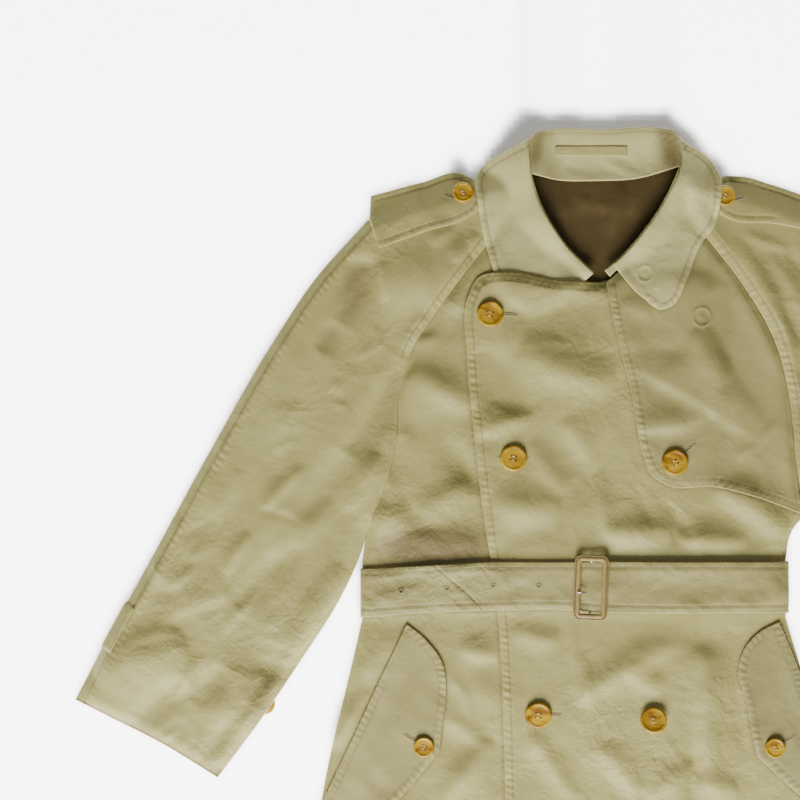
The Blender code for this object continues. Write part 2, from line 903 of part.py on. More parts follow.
def belt_fixed_end():
    """The end that carries the buckle, from its middle bar round the left side."""
    inner = BELT_RIGHT_SIDE + GAP
    path = [(inner, DOUBLED + GAP), (inner, belt_height(inner))]
    lines = waist_lines(BUCKLE_ACROSS + TONGUE_CROWN, inner)
    path.extend((across, belt_height(across)) for across in reversed(lines[:-1]))
    path.reverse()
    mesh = strap_mesh("belt_fixed_end", path, belt_edges, DOUBLED, place)
    add_object("belt_fixed_end", mesh, gabardine())


def bar_seat():
    """The height of the highest cloth under the buckle's middle bar."""
    reach = BUCKLE_HEIGHT / 2.0
    top = SHEETS["front_over"]["top"]
    spots = [
        (BUCKLE_ACROSS + aside, BUCKLE_DROP + along)
        for aside in (-TONGUE_CROWN, 0.0, TONGUE_CROWN)
        for along in np.linspace(-reach, reach, 25)
    ]
    return max(height_at(top, across, drop) for across, drop in spots) + 2.0 * GAP


def tongue_height(across):
    """The tongue lies on the front, climbs the buckle's middle bar, and lies on the fixed end."""
    lift = DOUBLED + GAP
    crown = bar_seat() + MIDDLE_BAR_RISE + GAP - belt_height(BUCKLE_ACROSS)
    steps = [BUCKLE_ACROSS + step for step in TONGUE_STEPS]
    climb = lift - 2.0 * GAP
    extra = np.interp(across, steps, [0.0, climb, climb, crown, crown, lift])
    return belt_height(across) + float(extra)


def belt_tongue():
    """The belt from the right side, through the buckle and on over its fixed end."""
    inner = BELT_LEFT_SIDE - GAP
    end = BELT_RIGHT_SIDE + DOUBLED
    lines = waist_lines(inner, end)
    stations = sorted(lines + [BUCKLE_ACROSS + step for step in TONGUE_STEPS])
    path = [(inner, DOUBLED + GAP)]
    path.extend((across, tongue_height(across)) for across in stations)
    mesh = strap_mesh("belt_tongue", path, belt_edges, DOUBLED, place)
    add_object("belt_tongue", mesh, gabardine())


# ---------------------------------------------------------------------------
# Buckle
# ---------------------------------------------------------------------------


def buckle_place(aside, along, height):
    """A point of the buckle in the coat's frame, turned by its slight tilt."""
    cosine = math.cos(BUCKLE_TILT)
    sine = math.sin(BUCKLE_TILT)
    across = BUCKLE_ACROSS + aside * cosine + along * sine
    drop = BUCKLE_DROP - aside * sine + along * cosine
    return place(across, drop, height)


def buckle_rest():
    """The height of the frame's underside, on the tongue."""
    tilted = BUCKLE_HEIGHT / 2.0 * math.sin(-BUCKLE_TILT)
    outside = BUCKLE_WIDTH / 2.0 + tilted
    within = BUCKLE_WIDTH / 2.0 - BUCKLE_BAR - tilted
    spots = [side * step for side in (-1, 1) for step in (within, outside)]
    on_tongue = max(tongue_height(BUCKLE_ACROSS + spot) for spot in spots) + DOUBLED + GAP
    on_bar = bar_seat() + MIDDLE_BAR_RISE + 2.0 * GAP
    return max(on_tongue, on_bar)


def rounded_rectangle(half_width, half_height, radius, steps=4):
    """Points round a rectangle with round corners."""
    points = []
    for turn, (side, end) in enumerate(((1, -1), (1, 1), (-1, 1), (-1, -1))):
        for step in range(steps + 1):
            angle = math.radians(90.0 * (turn - 1) + 90.0 * step / steps)
            points.append((
                side * (half_width - radius) + radius * math.cos(angle),
                end * (half_height - radius) + radius * math.sin(angle),
            ))
    return points


def buckle_frame():
    """A round-cornered frame of soft section, covered in leather."""
    rest = buckle_rest()
    section = [
        # inset from the outer edge, height
        (BUCKLE_EDGE, 0.0),
        (0.0, BUCKLE_CROWN * BUCKLE_THICKNESS),
        (BUCKLE_EDGE, BUCKLE_THICKNESS),
        (BUCKLE_BAR - BUCKLE_EDGE, BUCKLE_THICKNESS),
        (BUCKLE_BAR, BUCKLE_CROWN * BUCKLE_THICKNESS),
        (BUCKLE_BAR - BUCKLE_EDGE, 0.0),
    ]
    rings = []
    for inset, height in section:
        half_width = BUCKLE_WIDTH / 2.0 - inset
        half_height = BUCKLE_HEIGHT / 2.0 - inset
        radius = max(1.5, BUCKLE_CORNER - inset)
        outline = rounded_rectangle(half_width, half_height, radius)
        rings.append([buckle_place(aside, along, rest + height) for aside, along in outline])
    count = len(rings[0])
    corners = [corner for ring in rings for corner in ring]
    faces = []
    for ring in range(len(rings)):
        after_ring = (ring + 1) % len(rings)
        for step in range(count):
            after = (step + 1) % count
            faces.append((
                ring * count + step,
                after_ring * count + step,
                after_ring * count + after,
                ring * count + after,
            ))
    add_object("buckle_frame", mesh_from("buckle_frame", corners, faces), leather(), math.radians(50.0))


def buckle_middle_bar():
    """The bar under the tongue, its ends turned up to the frame beyond the belt's edges."""
    seat = bar_seat()
    top = buckle_rest() - GAP
    reach = BUCKLE_HEIGHT / 2.0 - 2.0
    inner = reach - MIDDLE_BAR_POST
    profile = [
        # along the bar, height
        (-reach, seat),
        (reach, seat),
        (reach, top),
        (inner, top),
        (inner, seat + MIDDLE_BAR_RISE),
        (-inner, seat + MIDDLE_BAR_RISE),
        (-inner, top),
        (-reach, top),
    ]
    corners = []
    for aside in (-MIDDLE_BAR_HALF_WIDTH, MIDDLE_BAR_HALF_WIDTH):
        corners.extend(buckle_place(aside, along, height) for along, height in profile)
    count = len(profile)
    faces = [tuple(range(count)), tuple(range(2 * count - 1, count - 1, -1))]
    for step in range(count):
        after = (step + 1) % count
        faces.append((step, count + step, count + after, after))
    add_object("buckle_middle_bar", mesh_from("buckle_middle_bar", corners, faces), steel())


def buckle_prong():
    """The tip of the prong, out of its eyelet and over the frame's side bar."""
    rest = buckle_rest()
    low = tongue_height(BUCKLE_ACROSS - (TONGUE_CROWN + TONGUE_FOOT) / 2.0) + DOUBLED + 2.0 * GAP
    over = rest + BUCKLE_THICKNESS + GAP
    path = [
        # aside from the buckle's middle, height
        (-6.0, low),
        (-8.6, max(low, rest + 1.0)),
        (-10.6, over),
        (-15.0, over),
    ]
    mesh = strap_mesh(
        "buckle_prong",
        [(-aside, height) for aside, height in path],
        lambda along: PRONG_SIDES,
        PRONG_THICKNESS,
        lambda along, side, height: buckle_place(-along, side, height),
    )
    add_object("buckle_prong", mesh, steel())


# ---------------------------------------------------------------------------
# Buttons and cuff straps
# ---------------------------------------------------------------------------


def button(name, across, drop, radius, height, facing=1):
    """A turned button with a raised rim, seat at the given height."""
    profile = [
        # share of the radius, share of the thickness
        (0.76, 0.0),
        (1.0, 0.40),
        (0.94, 1.0),
        (0.80, 1.0),
        (0.70, 0.74),
    ]
    corners = []
    for share, level in profile:
        rise = level if facing > 0 else 1.0 - level
        for step in range(BUTTON_SIDES):
            angle = 2.0 * math.pi * step / BUTTON_SIDES
            corners.append(place(
                across + radius * share * math.cos(angle),
                drop + radius * share * math.sin(angle),
                height + rise * BUTTON_THICKNESS,
            ))
    last = (len(profile) - 1) * BUTTON_SIDES
    faces = [tuple(range(BUTTON_SIDES)), tuple(range(last, last + BUTTON_SIDES))]
    for ring in range(len(profile) - 1):
        for step in range(BUTTON_SIDES):
            after = (step + 1) % BUTTON_SIDES
            lower = ring * BUTTON_SIDES
            upper = lower + BUTTON_SIDES
            faces.append((lower + step, lower + after, upper + after, upper + step))
    add_object(name, mesh_from(name, corners, faces), horn(), math.radians(35.0))


def button_seat(across, drop, radius, under):
    """The height of the highest cloth under a button."""
    highest = 0.0
    for name in under:
        sheet = SHEETS[name]
        near = np.hypot(NODE_ACROSS - across, NODE_DROP - drop) < radius
        highest = max(highest, float(sheet["top"][near].max(initial=0.0)))
        for share in (0.0, 0.35, 0.7, 1.0):
            for step in range(24):
                angle = math.pi * step / 12.0
                aside = share * radius * math.cos(angle)
                along = share * radius * math.sin(angle)
                highest = max(highest, height_at(sheet["top"], across + aside, drop + along))
    return highest + GAP


def sew_buttons(rows):
    """Buttons on the cloth named in each row."""
    for across, drop, radius, name, under in rows:
        height = button_seat(across, drop, radius, under)
        button(name, across, drop, radius, height)
        turns = [math.pi * step / 8.0 for step in range(16)]
        spots = [(across + radius * math.cos(turn), drop + radius * math.sin(turn)) for turn in turns]
        top = np.full(NODE_DROP.shape, height + BUTTON_THICKNESS)
        SHEETS[name] = {"edge": spots, "coarse": False, "top": top}


def strap_spot(along, aside):
    """A place on the right cuff's strap, across and down the coat."""
    across = CUFF_STRAP_START[0] + along * math.cos(CUFF_STRAP_TURN) - aside * math.sin(CUFF_STRAP_TURN)
    drop = CUFF_STRAP_START[1] + along * math.sin(CUFF_STRAP_TURN) + aside * math.cos(CUFF_STRAP_TURN)
    return across, drop


def strap_along(across, drop):
    """How far along the right cuff's strap a place is, and how far aside."""
    run = across - CUFF_STRAP_START[0]
    fall = drop - CUFF_STRAP_START[1]
    along = run * math.cos(CUFF_STRAP_TURN) + fall * math.sin(CUFF_STRAP_TURN)
    aside = fall * math.cos(CUFF_STRAP_TURN) - run * math.sin(CUFF_STRAP_TURN)
    return along, aside


def strap_edges(along):
    """The strap's two edges, aside from its middle, where it narrows to its round end."""
    places = [0.0, 150.0, CUFF_STRAP_REACH - 8.0, CUFF_STRAP_REACH]
    half = CUFF_STRAP_HALF_WIDTH * float(np.interp(along, places, [1.0, 0.85, 0.8, 0.4]))
    return -half, half


def sleeve_edge_along(edge, side):
    """How far out a sleeve's edge comes within its strap's width."""
    found = []
    for start, end in zip(edge, edge[1:] + edge[:1]):
        for share in np.linspace(0.0, 1.0, 9):
            across = start[0] + share * (end[0] - start[0])
            drop = start[1] + share * (end[1] - start[1])
            along, aside = strap_along(side * across, drop)
            if abs(aside) <= CUFF_STRAP_HALF_WIDTH and along < CUFF_STRAP_OVERLAP:
                found.append(along)
    return min(found)


def cuff_strap(name, sleeve_name, side):
    """The strap round a sleeve's end, from its top side round the outer edge to its button."""

    def locate(along, aside, height):
        across, drop = strap_spot(along, aside)
        return place(side * across, drop, height)

    front = SHEETS[sleeve_name]
    spots = [
        strap_spot(along, aside)
        for along in np.linspace(0.0, CUFF_STRAP_OVERLAP, 5)
        for aside in np.linspace(-CUFF_STRAP_HALF_WIDTH, CUFF_STRAP_HALF_WIDTH, 9)
    ]
    over = max(height_at(front["top"], side * across, drop) for across, drop in spots) + 2.0 * GAP
    outside = sleeve_edge_along(front["edge"], side) - GAP
    raised = CLOTH + BUTTON_THICKNESS + GAP
    path = [
        # along, height of the strap's inner face
        (CUFF_STRAP_REACH, raised),
        (CUFF_STRAP_REACH - 8.0, raised),
        (CUFF_STRAP_LEVEL, raised),
        (CUFF_STRAP_RISE, CLOTH),
        (outside, CLOTH),
        (outside, over),
        (CUFF_STRAP_OVERLAP, over),
    ]
    add_object(name, strap_mesh(name, path, strap_edges, CLOTH, locate), gabardine())


def lay_cuff_strap(side, name):
    """Note the space that a cuff strap takes under its sleeve."""
    along, _ = strap_along(side * NODE_ACROSS, NODE_DROP)
    raised = CLOTH + BUTTON_THICKNESS + GAP
    top = np.where(along > CUFF_STRAP_RISE - 18.0, raised, CLOTH)
    half = CUFF_STRAP_HALF_WIDTH
    ends = [(-4.0, -half), (CUFF_STRAP_REACH, -half), (CUFF_STRAP_REACH, half), (-4.0, half)]
    spots = [strap_spot(*end) for end in ends]
    edge = [(side * across, drop) for across, drop in spots]
    SHEETS[name] = {"edge": edge, "coarse": False, "top": top}


# ---------------------------------------------------------------------------
# The coat, from the surface up
# ---------------------------------------------------------------------------


def back_pieces():
    """What lies lowest: the belt's back, the collar's turned-down back, and the back panel."""
    belt_back()
    cloth("collar_back", COLLAR_BACK_EDGE, [], DOUBLED, coarse=False, roll=BACK_ROLL)
    edge = (
        NECK_TO_RAGLAN
        + RIGHT_RAGLAN
        + RIGHT_SIDE
        + HEM
        + LEFT_SIDE
        + turned(LEFT_RAGLAN)[1:]
        + [(84, 46, "corner")]
        + turned(BACK_NECK)
    )
    cloth("back", edge, ["belt_back", "collar_back"])
    cloth("back_lining", LINING_EDGE, ["back"], LINING, coarse=False, finish=lining_cloth())


def right_front():
    """The front that lies underneath, with the top of its buttoning edge hidden."""
    edge = (
        RIGHT_FRONT_NECK
        + turned(mirrored(OVER_EDGE))
        + turned(HEM)[1:]
        + turned(RIGHT_SIDE)
        + turned(RIGHT_RAGLAN)
        + [(-97, 100, "curve")]
    )
    cloth("front_under", edge, ["back", "back_lining"], folds=BODY_FOLDS, belted=True)


def left_front():
    """The front that lies on top, and the gun flap buttoned on its chest."""
    edge = (
        OVER_EDGE
        + HEM[1:]
        + LEFT_SIDE
        + turned(LEFT_RAGLAN)[1:-1]
        + [(99, 97, "corner")]
        + turned(mirrored(RIGHT_FRONT_NECK))
    )
    under = ["back", "back_lining", "front_under", "collar_right"]
    cloth("front_over", edge, under, folds=BODY_FOLDS, belted=True)
    cloth("gun_flap", GUN_FLAP, ["front_over"], coarse=False, shift=-FLAP_SHIFT)


def sleeve(side, name, under):
    """The back and the front of one sleeve, laid flat, the front on the back."""
    if side < 0:
        top = SLEEVE_TOP + [(-99.5, 97, "curve")]
        edge = top + RIGHT_RAGLAN + SLEEVE_INNER + CUFF + SLEEVE_OUTER + SHOULDER
    else:
        top = SLEEVE_TOP + [(-99, 97, "corner")]
        raglan = turned(mirrored(LEFT_RAGLAN[1:]))
        edge = mirrored(top + raglan + SLEEVE_INNER[4:] + CUFF + SLEEVE_OUTER + SHOULDER)
    folds = [(-side * row[0], row[1], -side * row[2], *row[3:]) for row in SLEEVE_FOLDS]
    shift = side * SLEEVE_SHIFT
    cloth(name + "_back", edge, under, shift=shift)
    cloth(name + "_front", edge, [name + "_back"], folds=folds, shift=shift)


def collar_and_left_side():
    """The stand, its loop, and the pieces that overlap each other round the neck."""
    under = ["collar_back", "back", "back_lining", "front_under", "sleeve_right_front", "epaulette_right"]
    cloth("collar_stand", COLLAR_STAND, under, DOUBLED, coarse=False, roll=BACK_ROLL + NECK_ROLL)
    cloth("hanger_loop", HANGER_LOOP, ["collar_stand"], 1.0, coarse=False)
    under = ["collar_stand", "collar_back", "front_under", "sleeve_right_front", "epaulette_right"]
    cloth("collar_right", RIGHT_LEAF, under, DOUBLED, coarse=False, roll=NECK_ROLL)
    left_front()
    sleeve(1, "sleeve_left", ["cuff_strap_left", "collar_back", "back", "collar_stand"])
    under = ["sleeve_left_front", "front_over", "gun_flap"]
    cloth("epaulette_left", LEFT_EPAULETTE, under, DOUBLED, coarse=False)


def coat():
    """All the pieces, each laid on those before it."""
    lay_cuff_strap(1, "cuff_strap_right")
    lay_cuff_strap(-1, "cuff_strap_left")
    back_pieces()
    right_front()
    sleeve(-1, "sleeve_right", ["cuff_strap_right", "collar_back", "back", "front_under"])
    cloth("epaulette_right", RIGHT_EPAULETTE, ["sleeve_right_front", "front_under"], DOUBLED, coarse=False)
    collar_and_left_side()
    cloth("pocket_flap_right", RIGHT_POCKET_FLAP, ["front_under"], DOUBLED, coarse=False)
    cloth("pocket_flap_left", LEFT_POCKET_FLAP, ["front_over"], DOUBLED, coarse=False)
    sew_buttons(BUTTONS)
    under = ["collar_stand", "front_over", "gun_flap", "sleeve_left_front", "epaulette_left"]
    cloth("collar_left", LEFT_LEAF, under + ["epaulette_button_left"], DOUBLED, coarse=False, roll=NECK_ROLL)
    belt_fixed_end()
    belt_tongue()
    buckle_frame()
    buckle_middle_bar()
    buckle_prong()
    cuff_strap("cuff_strap_right", "sleeve_right_front", 1)
    cuff_strap("cuff_strap_left", "sleeve_left_front", -1)
    for side, name in ((1, "cuff_button_right"), (-1, "cuff_button_left")):
        across, drop = strap_spot(CUFF_BUTTON_ALONG, CUFF_BUTTON_ASIDE)
        button(name, side * across, drop, SMALL_BUTTON_RADIUS, 0.0, facing=-1)


def clear_scene():
    """Start from an empty scene."""
    for existing in list(bpy.data.objects):
        bpy.data.objects.remove(existing, do_unlink=True)


clear_scene()
coat()
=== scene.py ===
import math

import bpy
import numpy as np
from mathutils import Matrix, Vector
from mathutils.geometry import delaunay_2d_cdt


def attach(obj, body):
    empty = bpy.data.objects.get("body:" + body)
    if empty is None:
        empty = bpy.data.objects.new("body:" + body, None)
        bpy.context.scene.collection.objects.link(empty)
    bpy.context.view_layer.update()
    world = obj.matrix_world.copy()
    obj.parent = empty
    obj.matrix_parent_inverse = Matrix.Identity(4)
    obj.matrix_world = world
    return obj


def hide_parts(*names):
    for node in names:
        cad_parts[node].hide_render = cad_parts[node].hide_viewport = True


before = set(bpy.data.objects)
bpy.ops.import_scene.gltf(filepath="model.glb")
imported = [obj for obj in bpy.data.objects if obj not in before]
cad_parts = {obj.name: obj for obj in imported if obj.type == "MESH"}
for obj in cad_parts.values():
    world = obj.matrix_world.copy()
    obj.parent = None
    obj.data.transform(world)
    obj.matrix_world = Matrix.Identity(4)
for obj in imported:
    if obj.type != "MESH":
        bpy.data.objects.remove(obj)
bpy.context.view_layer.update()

# Places on the coat are (across, drop) in millimetres: across from the centre line to the
# wearer's left, drop from the collar's top towards the hem. Heights are above the floor.
mm = 0.001
corner = True       # third value of an edge row that turns sharply
coat = {
    "length": 1105.6,
    "cloth": 1.5,
    "drapeSlope": 0.42,     # steepest fall of cloth from what it lies on
    "softness": 2.6,        # how far a lower layer's edge blurs in the next one
    "rim": 0.95,            # roundness of a cut or folded edge
    "beltTop": 455.0,
    "beltBottom": 516.0,
    "press": 0.55,          # share of a fold left under the belt
    "pressReach": 28.0,     # how far from the belt a fold is free again
    "creasing": 2.1,        # how strong the creases are
    "edgeStep": 1.8,        # between points along edges and seams
}

camera = {
    "lens": 85.0, "sensor": 36.0, "width": 0.84,
    "across": -206.85, "drop": 286.65, "focusHeight": 7.0,
}


def place(across, drop, height):
    return across * mm, (coat["length"] / 2 - drop) * mm, height * mm


def makeCamera():
    data = bpy.data.cameras.new("camera")
    data.lens = camera["lens"]
    data.sensor_width = camera["sensor"]
    rig = bpy.data.objects.new("camera", data)
    bpy.context.scene.collection.objects.link(rig)
    x, y, z = place(camera["across"], camera["drop"], camera["focusHeight"])
    rig.location = (x, y, z + camera["width"] * camera["lens"] / camera["sensor"])
    bpy.context.scene.camera = rig


studio = {
    "key": {"place": (-0.45, -2.1, 1.35), "aim": (-0.1, 0.25, 0.0), "size": 1.5, "power": 200.0},
    "fill": {"place": (0.3, 0.6, 2.6), "aim": (-0.1, 0.2, 0.0), "size": 2.4, "power": 9.0},
    "sky": 0.12,
    "floorColour": (0.9, 0.9, 0.905),
    "floorGlow": 6.0,
    "floorHeight": -0.0004,
    "floorReach": 6.0,
    "floorStep": 6.0,
    "shadowSlope": 0.57,        # fall of the light that reaches past the coat
    "shadowLean": -0.15,
    "shadowDepth": 0.97,
}


def makeLight(name, light):
    data = bpy.data.lights.new(name, "AREA")
    data.shape = "SQUARE"
    data.size = light["size"]
    data.energy = light["power"]
    lamp = bpy.data.objects.new(name, data)
    bpy.context.scene.collection.objects.link(lamp)
    lamp.location = light["place"]
    aim = Vector(light["aim"]) - Vector(light["place"])
    lamp.rotation_euler = aim.to_track_quat("-Z", "Y").to_euler()


def makeStudio():
    makeLight("key", studio["key"])
    makeLight("fill", studio["fill"])
    world = bpy.data.worlds.new("studio")
    world.use_nodes = True
    world.node_tree.nodes["Background"].inputs["Color"].default_value = (1.0, 1.0, 1.0, 1.0)
    world.node_tree.nodes["Background"].inputs["Strength"].default_value = studio["sky"]
    bpy.context.scene.world = world


makeCamera()
makeStudio()
print("camera and lights")


# Curves through rows of places, as dense lists of points.
def bearing(before, here, after):
    back, forth = here - before, after - here
    backLength, forthLength = np.linalg.norm(back), np.linalg.norm(forth)
    mean = back / backLength * forthLength + forth / forthLength * backLength
    return mean / np.linalg.norm(mean)


def curveThrough(rows, closed=True, spacing=coat["edgeStep"], shift=0.0):
    spots = [np.array((row[0] + shift, row[1]), float) for row in rows]
    sharp = [len(row) > 2 for row in rows]
    count = len(spots)
    if not closed:
        sharp[0] = sharp[-1] = True
    dense = []
    for index in range(count if closed else count - 1):
        start, end = spots[index], spots[(index + 1) % count]
        chord = end - start
        span = np.linalg.norm(chord)
        leave = arrive = chord
        if not sharp[index]:
            leave = bearing(spots[index - 1], start, end) * span
        if not sharp[(index + 1) % count]:
            arrive = bearing(start, end, spots[(index + 2) % count]) * span
        steps = max(1, math.ceil(span / spacing))
        for t in np.arange(steps) / steps:
            s = 1 - t
            dense.append(start * (1 + 2 * t) * s * s + leave * t * s * s
                         + end * t * t * (3 - 2 * t) - arrive * t * t * s)
    if not closed:
        dense.append(spots[-1])
    return np.array(dense)


def mirrored(rows):
    return [(-row[0], *row[1:]) for row in reversed(rows)]


def turned(rows):
    return list(reversed(rows))


def reachTo(points, path, closed):
    # distance to a path, place along it, and side (positive on its right) for each point
    starts = path if closed else path[:-1]
    runs = (np.roll(path, -1, 0) if closed else path[1:]) - (path if closed else path[:-1])
    lengths = np.maximum(np.linalg.norm(runs, axis=1), 1e-6)
    arcs = np.concatenate(([0.0], np.cumsum(lengths)))[:-1]
    distance = np.empty(len(points))
    along = np.empty(len(points))
    side = np.empty(len(points))
    for first in range(0, len(points), 2500):
        part = points[first:first + 2500].astype(np.float32)
        dx = part[:, 0, None] - starts[None, :, 0].astype(np.float32)
        dy = part[:, 1, None] - starts[None, :, 1].astype(np.float32)
        rx, ry = runs[:, 0].astype(np.float32), runs[:, 1].astype(np.float32)
        share = np.clip((dx * rx + dy * ry) / (lengths ** 2).astype(np.float32), 0, 1)
        ox, oy = dx - share * rx, dy - share * ry
        gap = ox * ox + oy * oy
        best = gap.argmin(axis=1)
        rows = np.arange(len(part))
        distance[first:first + 2500] = np.sqrt(gap[rows, best])
        along[first:first + 2500] = arcs[best] + share[rows, best] * lengths[best]
        side[first:first + 2500] = np.sign(rx[best] * dy[rows, best] - ry[best] * dx[rows, best])
    return distance, along, side


def inside(points, edge):
    result = np.zeros(len(points), bool)
    ax, ay = edge[:, 0], edge[:, 1]
    bx, by = np.roll(ax, -1), np.roll(ay, -1)
    rise = np.where(by == ay, 1e-9, by - ay)
    for first in range(0, len(points), 2500):
        x = points[first:first + 2500, 0, None]
        y = points[first:first + 2500, 1, None]
        crossed = ((ay > y) != (by > y)) & (x < (bx - ax) * (y - ay) / rise + ax)
        result[first:first + 2500] = crossed.sum(axis=1) % 2 == 1
    return result


# A raster over the coat holds how high the cloth already laid reaches.
raster = {"step": 2.5, "left": -600.0, "top": -30.0, "columns": 481, "rows": 469}
acrossLines = raster["left"] + raster["step"] * np.arange(raster["columns"])
dropLines = raster["top"] + raster["step"] * np.arange(raster["rows"])
rasterAcross, rasterDrop = np.meshgrid(acrossLines, dropLines)
pile = np.zeros(rasterAcross.shape)
outlines = {}


def sample(field, points):
    u = np.clip((points[:, 0] - raster["left"]) / raster["step"], 0, raster["columns"] - 1.001)
    v = np.clip((points[:, 1] - raster["top"]) / raster["step"], 0, raster["rows"] - 1.001)
    i, j = u.astype(int), v.astype(int)
    u, v = u - i, v - j
    upper = field[j, i] * (1 - u) + field[j, i + 1] * u
    lower = field[j + 1, i] * (1 - u) + field[j + 1, i + 1] * u
    return upper * (1 - v) + lower * v


def maskOf(edge):
    mask = np.zeros(rasterAcross.shape, bool)
    ax, ay = edge[:, 0], edge[:, 1]
    bx, by = np.roll(ax, -1), np.roll(ay, -1)
    for row, drop in enumerate(dropLines):
        hit = (ay > drop) != (by > drop)
        if hit.any():
            crossings = np.sort(ax[hit] + (drop - ay[hit]) * (bx[hit] - ax[hit]) / (by[hit] - ay[hit]))
            for start, end in zip(crossings[::2], crossings[1::2]):
                mask[row, np.searchsorted(acrossLines, start):np.searchsorted(acrossLines, end)] = True
    return mask


def blurred(field, sigma):
    cells = sigma / raster["step"]
    reach = max(1, math.ceil(3 * cells))
    weights = np.exp(-0.5 * (np.arange(-reach, reach + 1) / cells) ** 2)
    weights /= weights.sum()
    for axis in (0, 1):
        padding = [(reach, reach) if axis == a else (0, 0) for a in (0, 1)]
        wide = np.pad(field, padding, mode="edge")
        size = field.shape[axis]
        field = sum(w * np.take(wide, range(k, k + size), axis) for k, w in enumerate(weights))
    return field


def draped(need):
    step = coat["drapeSlope"] * raster["step"]
    height = need.copy()
    for _ in range(40):
        before = height.copy()
        height[:, 1:] = np.maximum(height[:, 1:], height[:, :-1] - step)
        height[:, :-1] = np.maximum(height[:, :-1], height[:, 1:] - step)
        height[1:] = np.maximum(height[1:], height[:-1] - step)
        height[:-1] = np.maximum(height[:-1], height[1:] - step)
        if np.abs(before - height).max() < 1e-3:
            break
    return height


def creaseRise(rows, across, drop):
    # each row: from across, drop, to across, drop, bow, rise, width on the left and on the right
    total = np.zeros(across.shape)
    for x0, y0, x1, y1, bow, rise, leftWidth, rightWidth in rows:
        length = math.hypot(x1 - x0, y1 - y0)
        ux, uy = (x1 - x0) / length, (y1 - y0) / length
        along = ((across - x0) * ux + (drop - y0) * uy) / length
        within = (along > 0) & (along < 1)
        t = np.clip(along, 0, 1)
        aside = (across - x0) * -uy + (drop - y0) * ux - 4 * bow * t * (1 - t)
        width = np.where(aside > 0, rightWidth, leftWidth) * (0.45 + 0.55 * np.sqrt(4 * t * (1 - t)))
        swell = coat["creasing"] * rise * (4 * t * (1 - t)) ** 0.7
        total += np.where(within, swell * np.exp(-(aside / width) ** 2), 0)
    return total


def foldRise(rows, across, drop):
    # each row: from across, drop, to across, drop, height, half width
    total = np.zeros(across.shape)
    for x0, y0, x1, y1, height, halfWidth in rows:
        length = math.hypot(x1 - x0, y1 - y0)
        ux, uy = (x1 - x0) / length, (y1 - y0) / length
        along = (across - x0) * ux + (drop - y0) * uy
        aside = (across - x0) * -uy + (drop - y0) * ux
        past = np.maximum(0, np.maximum(-along, along - length))
        total += height * np.exp(-(aside / halfWidth) ** 2 - (past / (1.3 * halfWidth)) ** 2)
    return total


def ribs(along, pitch, seed):
    # uneven rounded ribs along a seam, about one unit high
    phase = 2.3 * flutter(along, 2.3 * pitch, seed)
    return np.sin(2 * math.pi * along / pitch + phase) * (0.55 + 0.45 * flutter(along, 2.7 * pitch, seed + 1))


def unevenness(cell, seed, stretch=1.0, turn=0.0):
    # smooth noise of about one unit, with patches longer by "stretch" in the direction "turn"
    generator = np.random.default_rng(seed)
    cosine, sine = math.cos(math.radians(turn)), math.sin(math.radians(turn))
    u = (rasterAcross * cosine + rasterDrop * sine) / (cell * stretch)
    v = (rasterDrop * cosine - rasterAcross * sine) / cell
    u, v = u - u.min(), v - v.min()
    knots = generator.uniform(-1, 1, (int(v.max()) + 3, int(u.max()) + 3))
    i, j = u.astype(int), v.astype(int)
    u, v = u - i, v - j
    u, v = u * u * (3 - 2 * u), v * v * (3 - 2 * v)
    upper = knots[j, i] * (1 - u) + knots[j, i + 1] * u
    lower = knots[j + 1, i] * (1 - u) + knots[j + 1, i + 1] * u
    return upper * (1 - v) + lower * v


def flutter(along, pitch, seed):
    # smooth noise along a seam
    generator = np.random.default_rng(seed)
    u = along / pitch
    u = u - u.min()
    knots = generator.uniform(-1, 1, int(u.max()) + 3)
    i = u.astype(int)
    t = u - i
    t = t * t * (3 - 2 * t)
    return knots[i] * (1 - t) + knots[i + 1] * t


def belted(drop):
    middle = (coat["beltTop"] + coat["beltBottom"]) / 2
    half = (coat["beltBottom"] - coat["beltTop"]) / 2
    free = np.clip((np.abs(drop - middle) - half) / coat["pressReach"], 0, 1)
    return coat["press"] + (1 - coat["press"]) * free * free * (3 - 2 * free)


def insetPath(rows, inset, closed=False, shift=0.0, spacing=coat["edgeStep"]):
    # the line that lies inside a stretch of edge, on its right as the rows run
    dense = curveThrough(rows, closed, spacing, shift)
    if closed:
        ahead = np.roll(dense, -1, 0) - np.roll(dense, 1, 0)
    else:
        ahead = np.gradient(dense, axis=0)
    ahead /= np.maximum(np.linalg.norm(ahead, axis=1), 1e-9)[:, None]
    line = dense + inset * np.stack((-ahead[:, 1], ahead[:, 0]), axis=1)
    gap = reachTo(line, dense, closed)[0]
    return line[gap > 0.96 * abs(inset)]


def triangles(points, edge):
    # triangles between the points, inside the edge, which is the first stretch of them
    count = len(edge)
    links = [(k, (k + 1) % count) for k in range(count)]
    found = delaunay_2d_cdt([Vector(p) for p in points], links, [], 0, 0.01, False)
    corners = np.array([tuple(p) for p in found[0]])
    faces = np.array(found[2])
    centres = corners[faces].mean(axis=1)
    return corners, faces[inside(centres, edge)]


